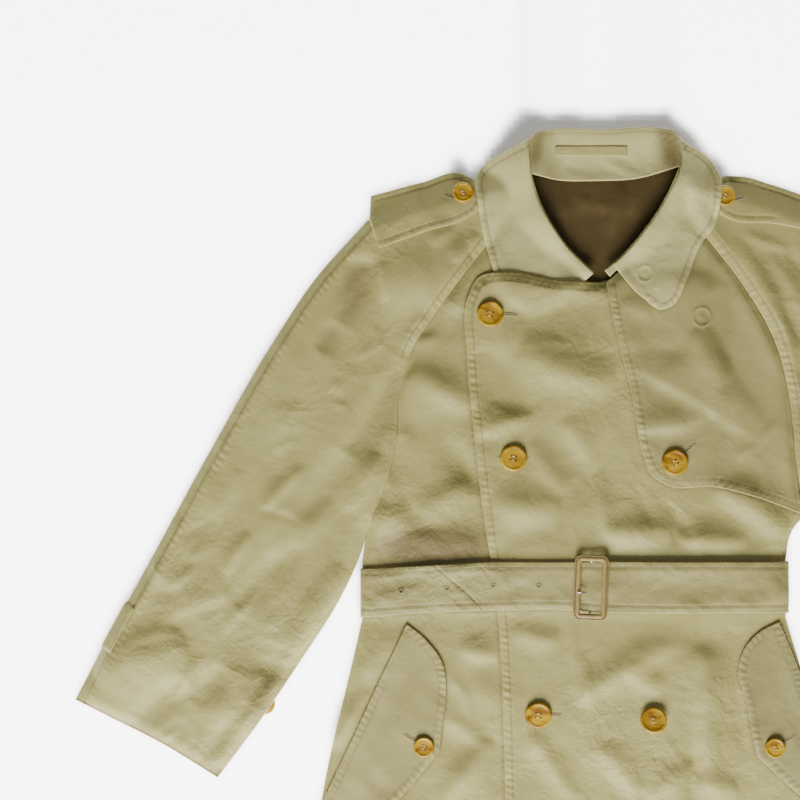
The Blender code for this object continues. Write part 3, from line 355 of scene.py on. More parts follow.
def spread(edge, lines, spacing, rings):
    # points along the edge, beside each line, and in a field between them
    ahead = np.roll(edge, -1, 0) - np.roll(edge, 1, 0)
    ahead /= np.maximum(np.linalg.norm(ahead, axis=1), 1e-9)[:, None]
    inward = np.stack((-ahead[:, 1], ahead[:, 0]), axis=1)
    if not inside(edge + 0.3 * inward, edge).mean() > 0.5:
        inward = -inward
    groups = [edge]
    for ring in rings:
        row = edge + ring * inward
        row = row[inside(row, edge)]
        if len(row):
            gap = reachTo(row, edge, True)[0]
            groups.append(row[gap > 0.94 * ring])
    band = rings[-1]
    for line in lines:
        if len(line) < 3:
            continue
        forth = np.gradient(line, axis=0)
        forth /= np.maximum(np.linalg.norm(forth, axis=1), 1e-9)[:, None]
        aside = np.stack((-forth[:, 1], forth[:, 0]), axis=1)
        for offset in (-6.6, -4.6, -2.8, -1.4, -0.5, 0.5, 1.4, 2.8, 4.6, 6.6):
            row = line + offset * aside
            row = row[inside(row, edge)]
            if len(row):
                gap = reachTo(row, edge, True)[0]
                row = row[gap > band + 1.0]
            if len(row):
                gap = reachTo(row, line, False)[0]
                row = row[gap > 0.9 * abs(offset)]
            groups.append(row)
    low, high = edge.min(axis=0), edge.max(axis=0)
    u, v = np.meshgrid(np.arange(low[0], high[0], spacing), np.arange(low[1], high[1], spacing * 0.87))
    u[1::2] += spacing / 2
    field = np.stack((u.ravel(), v.ravel()), axis=1)
    field = field[inside(field, edge)]
    if len(field):
        field = field[reachTo(field, edge[::2], True)[0] > band + 0.55 * spacing]
    for line in lines:
        if len(field) and len(line) >= 3:
            field = field[reachTo(field, line[::2], False)[0] > 6.6 + 0.5 * spacing]
    groups.append(field)
    return np.concatenate([group for group in groups if len(group)])


# Shader groups that the finishes share.
def newGroup(name, inputs, outputs):
    group = bpy.data.node_groups.new(name, "ShaderNodeTree")
    for label, kind, value in inputs:
        socket = group.interface.new_socket(name=label, in_out="INPUT", socket_type=kind)
        if value is not None:
            socket.default_value = value
    for label, kind in outputs:
        group.interface.new_socket(name=label, in_out="OUTPUT", socket_type=kind)
    return group, group.nodes.new("NodeGroupInput"), group.nodes.new("NodeGroupOutput")


def newFinish(name):
    finish = bpy.data.materials.new(name)
    finish.use_nodes = True
    nodes, links = finish.node_tree.nodes, finish.node_tree.links
    return finish, nodes, links, nodes["Principled BSDF"]


def mathNode(nodes, links, operation, first, second, clamp=False):
    node = nodes.new("ShaderNodeMath")
    node.operation = operation
    node.use_clamp = clamp
    for socket, value in zip(node.inputs, (first, second)):
        if isinstance(value, (int, float)):
            socket.default_value = value
        else:
            links.new(value, socket)
    return node.outputs[0]


def noiseNode(nodes, links, vector, scale, detail=3.0, roughness=0.55):
    node = nodes.new("ShaderNodeTexNoise")
    node.inputs["Scale"].default_value = scale
    node.inputs["Detail"].default_value = detail
    node.inputs["Roughness"].default_value = roughness
    links.new(vector, node.inputs["Vector"])
    return node.outputs["Fac"]


def mixNode(nodes, links, share, first, second, blend="MIX"):
    node = nodes.new("ShaderNodeMix")
    node.data_type = "RGBA"
    node.blend_type = blend
    for socket, value in ((node.inputs[0], share), (node.inputs[6], first), (node.inputs[7], second)):
        if isinstance(value, (int, float)):
            socket.default_value = value
        elif isinstance(value, tuple):
            socket.default_value = (*value, 1.0)
        else:
            links.new(value, socket)
    return node.outputs[2]


def attributeNode(nodes, name):
    node = nodes.new("ShaderNodeAttribute")
    node.attribute_name = name
    return node.outputs["Fac"]


def twillGroup():
    # steep diagonal ribs crossed by single yarns, with slubs
    group, source, result = newGroup(
        "twillWeave",
        [
            ("Vector", "NodeSocketVector", None),
            ("Rib", "NodeSocketFloat", 1300.0),
            ("Slub", "NodeSocketFloat", 0.4),
        ],
        [("Height", "NodeSocketFloat"), ("Shade", "NodeSocketFloat")],
    )
    nodes, links = group.nodes, group.links
    heights = []
    for turn, share in ((63.0, 0.7), (0.0, 0.3)):
        mapping = nodes.new("ShaderNodeMapping")
        mapping.inputs["Rotation"].default_value = (0.0, 0.0, math.radians(turn))
        links.new(source.outputs["Vector"], mapping.inputs["Vector"])
        wave = nodes.new("ShaderNodeTexWave")
        wave.bands_direction = "X"
        wave.inputs["Distortion"].default_value = 0.6
        wave.inputs["Detail"].default_value = 1.0
        wave.inputs["Detail Scale"].default_value = 1.5
        links.new(mapping.outputs["Vector"], wave.inputs["Vector"])
        links.new(mathNode(nodes, links, "MULTIPLY", source.outputs["Rib"], 0.16), wave.inputs["Scale"])
        heights.append(mathNode(nodes, links, "MULTIPLY", wave.outputs["Fac"], share))
    ribs = mathNode(nodes, links, "ADD", heights[0], heights[1])
    slub = noiseNode(nodes, links, source.outputs["Vector"], 420.0, 2.0)
    slub = mathNode(nodes, links, "MULTIPLY", slub, source.outputs["Slub"])
    links.new(mathNode(nodes, links, "ADD", ribs, slub), result.inputs["Height"])
    shade = mathNode(nodes, links, "ADD", mathNode(nodes, links, "MULTIPLY", ribs, 0.5), slub)
    links.new(shade, result.inputs["Shade"])
    return group


def crushedGroup():
    # fine folds left in cloth that has been crushed: sharp ridges at two sizes, in patches
    group, source, result = newGroup(
        "crushedCloth",
        [("Vector", "NodeSocketVector", None), ("Scale", "NodeSocketFloat", 24.0)],
        [("Height", "NodeSocketFloat")],
    )
    nodes, links = group.nodes, group.links
    vector = source.outputs["Vector"]
    total = None
    for times, detail, share in ((1.0, 3.0, 0.62), (2.7, 3.0, 0.26), (6.5, 2.0, 0.10)):
        noise = nodes.new("ShaderNodeTexNoise")
        noise.inputs["Detail"].default_value = detail
        noise.inputs["Roughness"].default_value = 0.5
        noise.inputs["Distortion"].default_value = 0.5
        links.new(vector, noise.inputs["Vector"])
        links.new(mathNode(nodes, links, "MULTIPLY", source.outputs["Scale"], times), noise.inputs["Scale"])
        ridge = mathNode(nodes, links, "SUBTRACT", noise.outputs["Fac"], 0.5)
        ridge = mathNode(nodes, links, "ABSOLUTE", ridge, 0.0)
        ridge = mathNode(nodes, links, "MULTIPLY", ridge, -2.6 * share)
        total = ridge if total is None else mathNode(nodes, links, "ADD", total, ridge)
    patches = noiseNode(nodes, links, vector, 5.0, 2.0)
    patches = mathNode(nodes, links, "MULTIPLY", mathNode(nodes, links, "SUBTRACT", patches, 0.28), 2.4, True)
    links.new(mathNode(nodes, links, "MULTIPLY", total, patches), result.inputs["Height"])
    return group


ageing = {      # how strongly each shows, and how fine the fading and the grime are
    "stainAndShade": 0.85, "wear": 0.2, "grooveShade": 0.85, "grime": 0.9,
    "cloudScale": 7.0, "grimeScale": 38.0, "roughness": 0.56,
}


def agedGroup():
    # dyed cloth that has faded in clouds, worn pale along edges, with painted shade along stitch lines and
    # beside pieces that lie on it, and with stains and patches of painted shade
    group, source, result = newGroup(
        "agedCloth",
        [
            ("Vector", "NodeSocketVector", None),
            ("Colour", "NodeSocketColor", (0.4, 0.36, 0.2, 1.0)),
            ("Faded", "NodeSocketColor", (0.5, 0.46, 0.3, 1.0)),
            ("StainAndShade", "NodeSocketColor", (0.3, 0.24, 0.14, 1.0)),
            ("Cloud", "NodeSocketFloat", 0.3),
            ("Weave", "NodeSocketFloat", 0.5),
        ],
        [("Colour", "NodeSocketColor"), ("Roughness", "NodeSocketFloat")],
    )
    nodes, links = group.nodes, group.links
    vector = source.outputs["Vector"]
    clouds = noiseNode(nodes, links, vector, ageing["cloudScale"], 4.0, 0.6)
    clouds = mathNode(nodes, links, "SUBTRACT", clouds, 0.35, True)
    clouds = mathNode(nodes, links, "MULTIPLY", clouds, source.outputs["Cloud"], True)
    colour = mixNode(nodes, links, clouds, source.outputs["Colour"], source.outputs["Faded"])
    grime = noiseNode(nodes, links, vector, ageing["grimeScale"], 5.0, 0.62)
    grime = mathNode(nodes, links, "SUBTRACT", grime, 0.53, True)
    grime = mathNode(nodes, links, "MULTIPLY", grime, ageing["grime"], True)
    colour = mixNode(nodes, links, grime, colour, source.outputs["StainAndShade"])
    stainAndShade = mathNode(nodes, links, "MULTIPLY", attributeNode(nodes, "stainAndShade"), ageing["stainAndShade"], True)
    colour = mixNode(nodes, links, stainAndShade, colour, source.outputs["StainAndShade"])
    worn = mathNode(nodes, links, "MULTIPLY", attributeNode(nodes, "wear"), ageing["wear"], True)
    colour = mixNode(nodes, links, worn, colour, source.outputs["Faded"])
    # painted shade along stitch lines and beside the edges of pieces on top
    seam = mathNode(nodes, links, "MULTIPLY", attributeNode(nodes, "grooveShade"), ageing["grooveShade"], True)
    colour = mixNode(nodes, links, seam, colour, source.outputs["StainAndShade"])
    shade = mathNode(nodes, links, "MULTIPLY_ADD", source.outputs["Weave"], 0.22)
    shade.node.inputs[2].default_value = 0.84
    grey = nodes.new("ShaderNodeCombineColor")
    for channel in ("Red", "Green", "Blue"):
        links.new(shade, grey.inputs[channel])
    colour = mixNode(nodes, links, 1.0, colour, grey.outputs["Color"], "MULTIPLY")
    links.new(colour, result.inputs["Colour"])
    rough = mathNode(nodes, links, "MULTIPLY_ADD", grime, 0.3)
    rough.node.inputs[2].default_value = ageing["roughness"]
    links.new(rough, result.inputs["Roughness"])
    return group


gabardine = {
    "colour": (0.372, 0.332, 0.108),
    "faded": (0.495, 0.448, 0.185),
    "stainAndShade": (0.20, 0.155, 0.055),
    "cloud": 0.5,
    "gloss": 0.34,
    "rib": 1300.0,
    "slub": 0.5,
    "bump": 0.12,
    "crush": 0.0022,        # height of the fine folds, in metres
    "crushScale": 23.0,
    "sheen": 0.06,
    "sheenTint": (1.0, 0.96, 0.82),
}
liningCloth = {
    "colour": (0.082, 0.056, 0.019),
    "faded": (0.13, 0.095, 0.038),
    "stainAndShade": (0.035, 0.024, 0.010),
    "cloud": 0.4,
    "gloss": 0.12,
    "rib": 1700.0,
    "slub": 0.2,
    "bump": 0.08,
    "crush": 0.0012,
    "crushScale": 18.0,
    "sheen": 0.04,
    "sheenTint": (1.0, 0.95, 0.85),
}
twill = twillGroup()
aged = agedGroup()
crushed = crushedGroup()


def clothFinish(name, look, turn):
    finish, nodes, links, shader = newFinish(name)
    source = nodes.new("ShaderNodeTexCoord")
    mapping = nodes.new("ShaderNodeMapping")
    mapping.inputs["Rotation"].default_value = (0.0, 0.0, math.radians(turn))
    links.new(source.outputs["Object"], mapping.inputs["Vector"])
    weave = nodes.new("ShaderNodeGroup")
    weave.node_tree = twill
    weave.inputs["Rib"].default_value = look["rib"]
    weave.inputs["Slub"].default_value = look["slub"]
    links.new(mapping.outputs["Vector"], weave.inputs["Vector"])
    colour = nodes.new("ShaderNodeGroup")
    colour.node_tree = aged
    colour.inputs["Colour"].default_value = (*look["colour"], 1.0)
    colour.inputs["Faded"].default_value = (*look["faded"], 1.0)
    colour.inputs["StainAndShade"].default_value = (*look["stainAndShade"], 1.0)
    colour.inputs["Cloud"].default_value = look["cloud"]
    links.new(source.outputs["Object"], colour.inputs["Vector"])
    links.new(weave.outputs["Shade"], colour.inputs["Weave"])
    links.new(colour.outputs["Colour"], shader.inputs["Base Color"])
    links.new(colour.outputs["Roughness"], shader.inputs["Roughness"])
    folds = nodes.new("ShaderNodeGroup")
    folds.node_tree = crushed
    folds.inputs["Scale"].default_value = look["crushScale"]
    links.new(mapping.outputs["Vector"], folds.inputs["Vector"])
    crumple = nodes.new("ShaderNodeBump")
    crumple.inputs["Strength"].default_value = 1.0
    crumple.inputs["Distance"].default_value = look["crush"]
    links.new(folds.outputs["Height"], crumple.inputs["Height"])
    bump = nodes.new("ShaderNodeBump")
    links.new(crumple.outputs["Normal"], bump.inputs["Normal"])
    bump.inputs["Strength"].default_value = look["bump"]
    bump.inputs["Distance"].default_value = 0.0004
    links.new(weave.outputs["Height"], bump.inputs["Height"])
    links.new(bump.outputs["Normal"], shader.inputs["Normal"])
    shader.inputs["Sheen Weight"].default_value = look["sheen"]
    shader.inputs["Sheen Roughness"].default_value = 0.4
    shader.inputs["Sheen Tint"].default_value = (*look["sheenTint"], 1.0)
    shader.inputs["Specular IOR Level"].default_value = look["gloss"]
    return finish


def shellCloth(name, turn, **changes):
    return clothFinish(name, {**gabardine, **changes}, turn)


bodyCloth = shellCloth("gabardineBody", 0.0, crush=0.003)
rightSleeveCloth = shellCloth("gabardineRightSleeve", -28.0, crush=0.0036)
leftSleeveCloth = shellCloth("gabardineLeftSleeve", 28.0, crush=0.0036)
trimCloth = shellCloth("gabardineTrim", 62.0)
# the flaps and the belt take darker copies of the shell cloth, which paint shade on them; the collar takes a
# paler copy
collarCloth = shellCloth("gabardineCollar", 62.0, colour=(0.51, 0.462, 0.185))
shadedFlapCloth = shellCloth("gabardineFlapsPaintedShade", 0.0, colour=(0.325, 0.285, 0.098), crushScale=20.0)
shadedLeftFlapCloth = shellCloth("gabardineLeftFlapPaintedShade", 0.0, colour=(0.27, 0.238, 0.082), crushScale=20.0)
shadedBeltCloth = shellCloth("gabardineBeltPaintedShade", 4.0, colour=(0.312, 0.273, 0.093), crush=0.003, crushScale=28.0)
innerCloth = clothFinish("liningTwill", liningCloth, 0.0)

threadLook = {"colour": (0.37, 0.33, 0.135), "roughness": 0.7}


def finishThread():
    finish, nodes, links, shader = newFinish("sewingThread")
    source = nodes.new("ShaderNodeTexCoord")
    tone = noiseNode(nodes, links, source.outputs["Object"], 60.0)
    pale = tuple(1.25 * c for c in threadLook["colour"])
    dark = tuple(0.75 * c for c in threadLook["colour"])
    links.new(mixNode(nodes, links, tone, dark, pale), shader.inputs["Base Color"])
    shader.inputs["Roughness"].default_value = threadLook["roughness"]
    return finish


threadFinish = finishThread()
print("finishes")

threadRuns = []      # (points, kind) of every stitched line


def layPanel(piece):
    thickness = piece.get("thickness", coat["cloth"])
    rim = piece.get("rim", coat["rim"])
    edge = curveThrough(piece["edge"], True, piece.get("edgeStep", coat["edgeStep"]), piece.get("shift", 0.0))
    mask = maskOf(edge)
    near = mask.copy()
    if "meets" in piece:        # where it is sewn to a neighbour it lies as high
        spots = np.stack((rasterAcross.ravel(), rasterDrop.ravel()), axis=1)
        gap = reachTo(spots, curveThrough(piece["meets"], False, 9.0), False)[0]
        near |= gap.reshape(mask.shape) < 7.0
    base = draped(np.where(near, pile, 0))
    softness = piece.get("softness", coat["softness"])
    weight = np.maximum(blurred(near.astype(float), softness), 1e-4)
    base = blurred(np.where(near, base, 0), softness) / weight
    press = belted(rasterDrop) if piece.get("belted") else 1.0
    share = 1.0
    if "fadesUnder" in piece:       # folds that the piece on top shows are not repeated below it
        spots = np.stack((rasterAcross[mask], rasterDrop[mask]), axis=1)
        share = np.ones(pile.shape)
        for cover in piece["fadesUnder"]:
            cover = curveThrough(cover)
            gap = reachTo(spots, cover, True)[0]
            share[mask] *= np.where(maskOf(cover)[mask], np.clip(1 - gap / 24, 0, 1), 1)
    rise = foldRise(piece.get("folds", []), rasterAcross, rasterDrop)
    rise += creaseRise(piece.get("creases", []), rasterAcross, rasterDrop)
    for cell, height, seed, stretch, turn in piece.get("uneven", []):
        rise += height * unevenness(cell, seed, stretch, turn)
    puff, reach = piece.get("puff", (0.0, 10.0))     # how full it lies, and how far in from its edge
    middle = np.clip(2.6 * blurred(mask.astype(float), reach) - 1.35, 0, 1) * puff
    rise += middle
    rise = rise * press * share
    if {"creases", "uneven", "folds"} & piece.keys():      # troughs end softly on what lies below
        base += (rise + np.sqrt(rise ** 2 + 0.6 + middle ** 2)) / 2
    if "roll" in piece:
        base = np.maximum(base, foldRise(piece["roll"], rasterAcross, rasterDrop))
    lines = [line for line in (stitch["path"] for stitch in piece.get("stitches", [])) if len(line) > 2]
    rings = piece.get("rings", (0.35, 0.9, 1.7, 3.0, 4.6, 6.4, 8.2))
    points = spread(edge, lines, piece.get("spacing", 4.0), rings)
    for across, drop, reach in piece.get("finer", []):     # closer points where the cloth bears a mark
        lattice = np.arange(-reach, reach, 1.1)
        u, v = (axis.ravel() for axis in np.meshgrid(lattice, lattice))
        spots = np.stack((across + u, drop + v), axis=1)[np.hypot(u, v) < reach]
        clear = np.hypot(points[:, 0] - across, points[:, 1] - drop) > reach + 0.6
        clear[:len(edge)] = True
        points = np.concatenate((points[clear], spots[inside(spots, edge)]))
    corners, faces = triangles(points, edge)

    def surface(spots):
        gap, along, _ = reachTo(spots, edge, True)
        rounding = np.sqrt(1 - (1 - np.clip(gap / rim, 0, 1)) ** 2)
        low = sample(base, spots)
        for line, below, reach in piece.get("wraps", []):
            past = np.clip((np.sign(line) * spots[:, 0] - abs(line)) / reach, 0, 1)
            low = low + (below - low) * (1 - np.sqrt(1 - past ** 2))
        extra = piece.get("bead", 0.15) * np.exp(-((gap - 1.3) / 0.9) ** 2)     # the folded edge is thicker
        ripple = piece.get("edgeRipple", 0.0)
        if ripple:
            extra += ripple * flutter(along, 7.0, 5) * np.exp(-(gap / 6.0) ** 2)
        grooveShade = np.zeros(len(spots))
        for number, stitch in enumerate(piece.get("stitches", [])):
            if len(stitch["path"]) < 3:
                continue
            off, reach, side = reachTo(spots, stitch["path"], False)
            off = off * side
            line = np.exp(-(off / stitch.get("width", 0.85)) ** 2)
            extra -= stitch.get("depth", 0.5) * line
            # the cloth along a stitch line is painted darker: painted shade in its groove
            grooveShade = np.maximum(grooveShade, line)
            start, end = stitch.get("band", (-8.0, 4.0))     # where the cloth is roped, across the line
            within = 1 / (1 + np.exp(-(off - start) / 0.9)) / (1 + np.exp((off - end) / 0.9))
            slanted = reach + stitch.get("slant", 0.25) * off
            roped = ribs(slanted, stitch.get("pitch", 7.2), 40 + number)
            extra += stitch.get("pucker", 0.4) * roped * within * (1 - 0.5 * line)
        for path in piece.get("paintedEdgeShadows", []):        # painted shadow beside another piece's edge that lies on it
            grooveShade = np.maximum(grooveShade, 0.9 * np.exp(-(reachTo(spots, path, False)[0] / 1.9) ** 2))
        for across, drop, radius, height, width in piece.get("rings3d", []):
            r = np.hypot(spots[:, 0] - across, spots[:, 1] - drop)
            extra += height * np.exp(-((r - radius) / width) ** 2)
        stainAndShade = np.zeros(len(spots))
        # each entry darkens an oval: a real stain, or a patch of painted shade
        for across, drop, halfLength, halfWidth, turn, depth in piece.get("stainsAndShades", []):
            c, s = math.cos(math.radians(turn)), math.sin(math.radians(turn))
            u = ((spots[:, 0] - across) * c + (spots[:, 1] - drop) * s) / halfLength
            v = ((spots[:, 1] - drop) * c - (spots[:, 0] - across) * s) / halfWidth
            stainAndShade = np.maximum(stainAndShade, depth * np.exp(-(u * u + v * v) ** 1.5))
        upper = low + thickness * (1 + rounding) / 2 + extra * rounding
        lower = low + thickness * (1 - rounding) / 2
        return upper, lower, {"wear": np.exp(-gap / 1.3), "grooveShade": grooveShade, "stainAndShade": stainAndShade}

    upper, _, marks = surface(corners)
    lowPoints, lowFaces = triangles(spread(edge, [], piece.get("lowSpacing", 16.0), (1.3, 6.0)), edge)
    _, lower, lowMarks = surface(lowPoints)
    count = len(edge)
    vertices = [place(x, y, z) for (x, y), z in zip(corners, upper)]
    vertices += [place(x, y, max(0.0, z)) for (x, y), z in zip(lowPoints[count:], lower[count:])]
    shift = len(corners) - count
    lowFaces = np.where(lowFaces < count, lowFaces, lowFaces + shift)
    allFaces = np.concatenate((faces[:, ::-1], lowFaces))
    mesh = bpy.data.meshes.new(piece["name"])
    mesh.from_pydata(vertices, [], allFaces.tolist())
    for name, values in marks.items():
        layer = mesh.attributes.new(name, "FLOAT", "POINT")
        layer.data.foreach_set("value", np.concatenate((values, lowMarks[name][count:])).astype(np.float32))
    mesh.shade_smooth()
    mesh.materials.append(piece.get("finish", bodyCloth))
    built = bpy.data.objects.new(piece["name"], mesh)
    bpy.context.scene.collection.objects.link(built)
    pile[mask] = np.maximum(pile[mask], (base + thickness)[mask])
    outlines[piece["name"]] = edge
    for stitch in piece.get("stitches", []):
        if len(stitch["path"]) < 3 or stitch.get("plain"):
            continue
        run = stitch["path"][inside(stitch["path"], edge)]
        height = surface(run)[0] + 0.12
        threadRuns.append(([place(x, y, z) for (x, y), z in zip(run, height)], stitch.get("thread", "top")))
    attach(built, "root")
    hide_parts(piece["node"])
    print(piece["name"], len(mesh.polygons), "triangles")
    return surface


# Edges and folds, as rows of places
neckToRaglan = [
    (-84, 50, corner), (-99, 97),
]
rightRaglan = [
    (-116, 122), (-145, 160), (-175, 202), (-194, 231), (-199, 245, corner),
]
leftRaglan = [
    (99, 97), (118, 119), (153, 164), (188, 226), (204, 290), (210, 350), (219, 408, corner),
]
rightSide = [
    (-222, 300), (-234, 360), (-242, 425), (-246.5, 455, corner), (-246.5, 516, corner), (-258, 566),
    (-279, 654), (-314, 860), (-350, 1105.6, corner),
]
leftSide = [
    (350, 1105.6, corner), (318, 920), (266, 720), (222, 590), (199, 516, corner), (199, 455, corner),
    (205, 425), (219, 408, corner),
]
hem = [
    (-170, 1103.6), (0, 1099.6), (170, 1103.6),
]
backNeck = [
    (-70, 50), (-45, 55), (2, 56), (40, 54), (68, 47),
]
rightFrontNeck = [
    (-79, 88, corner), (-64, 108), (-46, 129), (-14, 160, corner),
]
overEdge = [
    (2, 163, corner), (-40, 161), (-100, 152.5), (-124, 157), (-136, 178), (-137, 240), (-132, 299),
    (-123, 382), (-105, 508), (-98, 660), (-97, 1101.6, corner),
]
sleeveTop = [
    (-86, 50, corner),
]
sleeveInner = [
    (-209, 280), (-212, 330), (-221, 368), (-240, 418), (-252, 455), (-272, 497), (-312, 560),
    (-355, 623), (-400, 684, corner),
]
cuff = [
    (-461, 647), (-500, 627), (-550, 602, corner),
]
sleeveOuter = [
    (-518, 541), (-471, 455), (-402, 329), (-341, 224), (-299, 161), (-243, 98, corner),
]
shoulder = [
    (-205, 82), (-150, 66),
]
collarBackEdge = [
    (-122, 44), (-96, 26.5), (-73, 14), (-64, 6.6), (-47, 2.6), (5, 2.9), (68, 1.6), (80, 4.6),
    (89, 16), (121, 37), (127, 48), (120, 80), (84, 96), (0, 86), (-84, 96), (-118, 78),
]
collarStand = [
    (-18, 155, corner), (-56, 116), (-76, 85), (-84, 56), (-79, 28), (-72, 14), (-64, 7.1), (-47, 3.1),
    (5, 3.4), (68, 2.1), (80, 5.1), (87.5, 16), (91, 34), (87, 66), (77, 86.5), (62, 106.5),
    (44, 127.5), (13, 157.5, corner), (7, 151, corner), (28, 132), (49, 107), (70, 75),
    (84.5, 43, corner), (68, 48), (40, 54.5), (2, 56.5), (-45, 55.5), (-69, 51, corner), (-66, 62),
    (-53, 94), (-37, 118), (-4, 152, corner),
]
rightLeaf = [
    (-4, 154, corner), (-38, 119), (-54, 95), (-68, 61), (-72, 32), (-72.5, 14, corner), (-95, 26),
    (-117, 38.5), (-126, 50), (-125.5, 80), (-114, 134), (-98, 174), (-70, 193), (-54, 190),
    (-14, 163, corner),
]
leftLeaf = [
    (6, 153, corner), (29, 133), (50, 108), (71, 76), (87, 39), (88.5, 16, corner), (120, 36),
    (127, 48), (128, 80), (122, 106), (111, 120), (94, 159), (78, 188), (68, 192), (47, 180),
    (16, 145, corner),
]
gunFlap = [
    (10, 163, corner), (17, 203), (36, 278), (49, 345), (57, 364), (74, 376), (124, 378), (165, 388),
    (217, 407, corner), (210, 350), (204, 290), (188, 226), (153, 164), (118, 119), (96, 96),
    (80, 91, corner), (66, 109), (48, 130),
]
rightEpaulette = [
    (-238, 72, corner), (-182, 57), (-145, 48), (-129, 56), (-121, 72), (-125, 88), (-138, 97),
    (-182, 111), (-229, 128, corner), (-239, 98, corner),
]
leftEpaulette = [
    (236, 78, corner), (185, 60), (150, 51), (130, 53), (120, 70), (126, 90), (141, 98), (185, 102),
    (234, 112, corner),
]
rightPocketFlap = [
    (-200, 521, corner), (-180, 537), (-162, 562), (-158, 590), (-162, 625), (-165, 655, corner),
    (-210, 707), (-262, 745), (-295, 757, corner), (-285, 702, corner), (-230, 583),
]
leftPocketFlap = [
    (191, 519, corner), (208, 560), (262, 710, corner), (272, 748, corner), (213, 702),
    (168, 661, corner), (163, 642), (156, 600), (148, 572), (153, 550), (170, 530),
]
liningEdge = [
    (-78, 46, corner), (-40, 49), (2, 50), (40, 48), (88, 34, corner), (112, 90), (112, 230, corner),
    (-104, 230, corner), (-104, 110),
]
hangerLoop = [
    (-44, 20, corner), (31.5, 20, corner), (31.5, 30.5, corner), (-44, 30.5, corner),
]
neckRoll = [
    (-8, 148, -50, 98, 7, 20), (-50, 98, -72, 44, 9, 24), (-72, 44, -76, 20, 9, 26),
    (12, 150, 50, 108, 8, 20), (50, 108, 80, 60, 10, 24), (80, 60, 90, 22, 9, 26),
]
backRoll = [
    (-66, 2, 80, 2, 8, 26),
]
beltEdges = [
    (-252, 464, 515.6), (-196, 460.5, 511), (-116, 456, 507.5), (-39, 455.6, 506.5), (8, 455.4, 509),
    (204, 456, 510),
]
sleeveStains = [
    (-255.0, 172.0, 30.0, 14.0, -62.0, 1.0), (-282.0, 217.0, 13.0, 9.0, -40.0, 0.7),
    (-246.0, 150.0, 12.0, 8.0, 20.0, 0.6), (-352.0, 608.0, 20.0, 10.0, -62.0, 0.5),
    (-398.0, 592.0, 16.0, 9.0, -20.0, 0.35),
]
frontUnderCreases = [
    (-192, 205, -131, 201, 1, -2.8, 12, 21.6), (-198, 257, -129, 295, 0, 4.4, 20.4, 17),
    (-203, 266, -194, 329, 0, -1.4, 6, 8), (-211, 326, -194, 319, 0, 0.7, 4, 4),
    (-159, 329, -121, 383, 0, -2.8, 11, 13.2), (-188, 404, -129, 369, 3, 3.1, 14.4, 18),
    (-213, 458, -106, 455, 0, 4.8, 36, 14), (-247, 408, -196, 408, 2, 3.6, 16.8, 20),
    (-236, 344, -211, 392, 0, 1.4, 8, 9), (-257, 591, -207, 526, 0, 1.1, 12, 11),
    (-280, 652, -243, 591, 0, 2.3, 10.8, 10), (-146, 547, -100, 553, 2, 2.9, 16.8, 9),
    (-182, 602, -102, 656, 2, 1.2, 10.8, 9), (-165, 713, -110, 645, 0, 3.6, 16.8, 11),
    (-181, 539, -149, 591, 0, 1.2, 10.8, 9), (-117, 625, -102, 627, 0, 0.5, 3, 2.5),
    (-149, 576, -129, 623, 0, 0.9, 5, 5), (-207, 229, -165, 219, 0, 1.4, 12, 9),
]
frontOverCreases = [
    (-102, 194, 5, 188, 3, -2.5, 14, 26.4), (-125, 232, -68, 303, 0, -4.2, 16, 21.6),
    (-131, 322, -70, 298, 2, 3.4, 16.8, 10), (-83, 234, 18, 272, 4, 5.3, 26.4, 20),
    (-112, 394, -37, 398, 3, 3.9, 19.2, 20), (-106, 457, 9, 454, 0, 3.9, 18, 12),
    (3, 360, 7, 434, 0, 1.6, 9, 8), (5, 425, 81, 422, 2, 3.1, 14.4, 16),
    (41, 379, 58, 421, 0, -1, 6, 6), (72, 392, 100, 434, 0, -1.2, 6, 7),
    (83, 429, 161, 435, 2, 3.4, 15.6, 11), (125, 377, 205, 432, -3, 3.6, 16.8, 15),
    (152, 446, 205, 438, 0, 0.9, 5, 6), (-70, 329, -33, 383, 3, 2.5, 14.4, 12),
    (-39, 308, -1, 360, -3, 2.2, 16.8, 10), (-72, 635, -22, 707, 0, 2.8, 13.2, 11),
    (-26, 602, 89, 541, -3, 3.6, 16.8, 12), (-27, 511, -24, 593, 0, 0.7, 4, 3),
    (-19, 549, -7, 608, 0, 1.4, 8, 8), (-91, 526, -39, 539, 0, 2.2, 13.2, 12),
    (89, 531, 159, 534, 0, -3.4, 10, 18), (112, 539, 121, 696, 3, 3.9, 18, 13),
    (146, 539, 154, 665, 0, -1.4, 9, 8), (69, 636, 91, 669, 1, 0.5, 3, 2.5),
    (98, 665, 56, 707, 0, 3.1, 12, 14.4), (75, 589, 98, 595, 0, 0.5, 3, 3),
    (79, 602, 110, 608, 0, 0.5, 3, 3), (125, 602, 131, 618, 0, 0.5, 3, 3),
    (3, 649, 45, 702, 0, 3.4, 16.8, 12), (30, 568, 70, 591, 2, 2, 14.4, 10),
    (150, 696, 98, 690, 0, 2.8, 12, 14.4), (20, 457, 182, 457, 0, 4.1, 20.4, 12),
]
gunFlapCreases = [
    (33, 249, 171, 330, -5, 2.6, 43.2, 9), (39, 316, 114, 304, 3, 2.7, 22, 8),
    (121, 173, 203, 312, 5, -3.9, 15, 18), (144, 348, 171, 332, 0, 1, 6, 5),
    (146, 354, 201, 364, 0, -2.4, 7, 20), (166, 335, 178, 362, 0, -0.5, 4, 3),
    (168, 333, 201, 297, 0, 0.9, 5, 6), (98, 213, 131, 270, 0, 1.8, 19.2, 14),
    (24, 182, 56, 198, 0, 1.5, 10.8, 9), (45, 213, 98, 228, 3, -2.2, 16, 21.6),
    (152, 377, 177, 350, 0, 1.5, 9, 8),
]
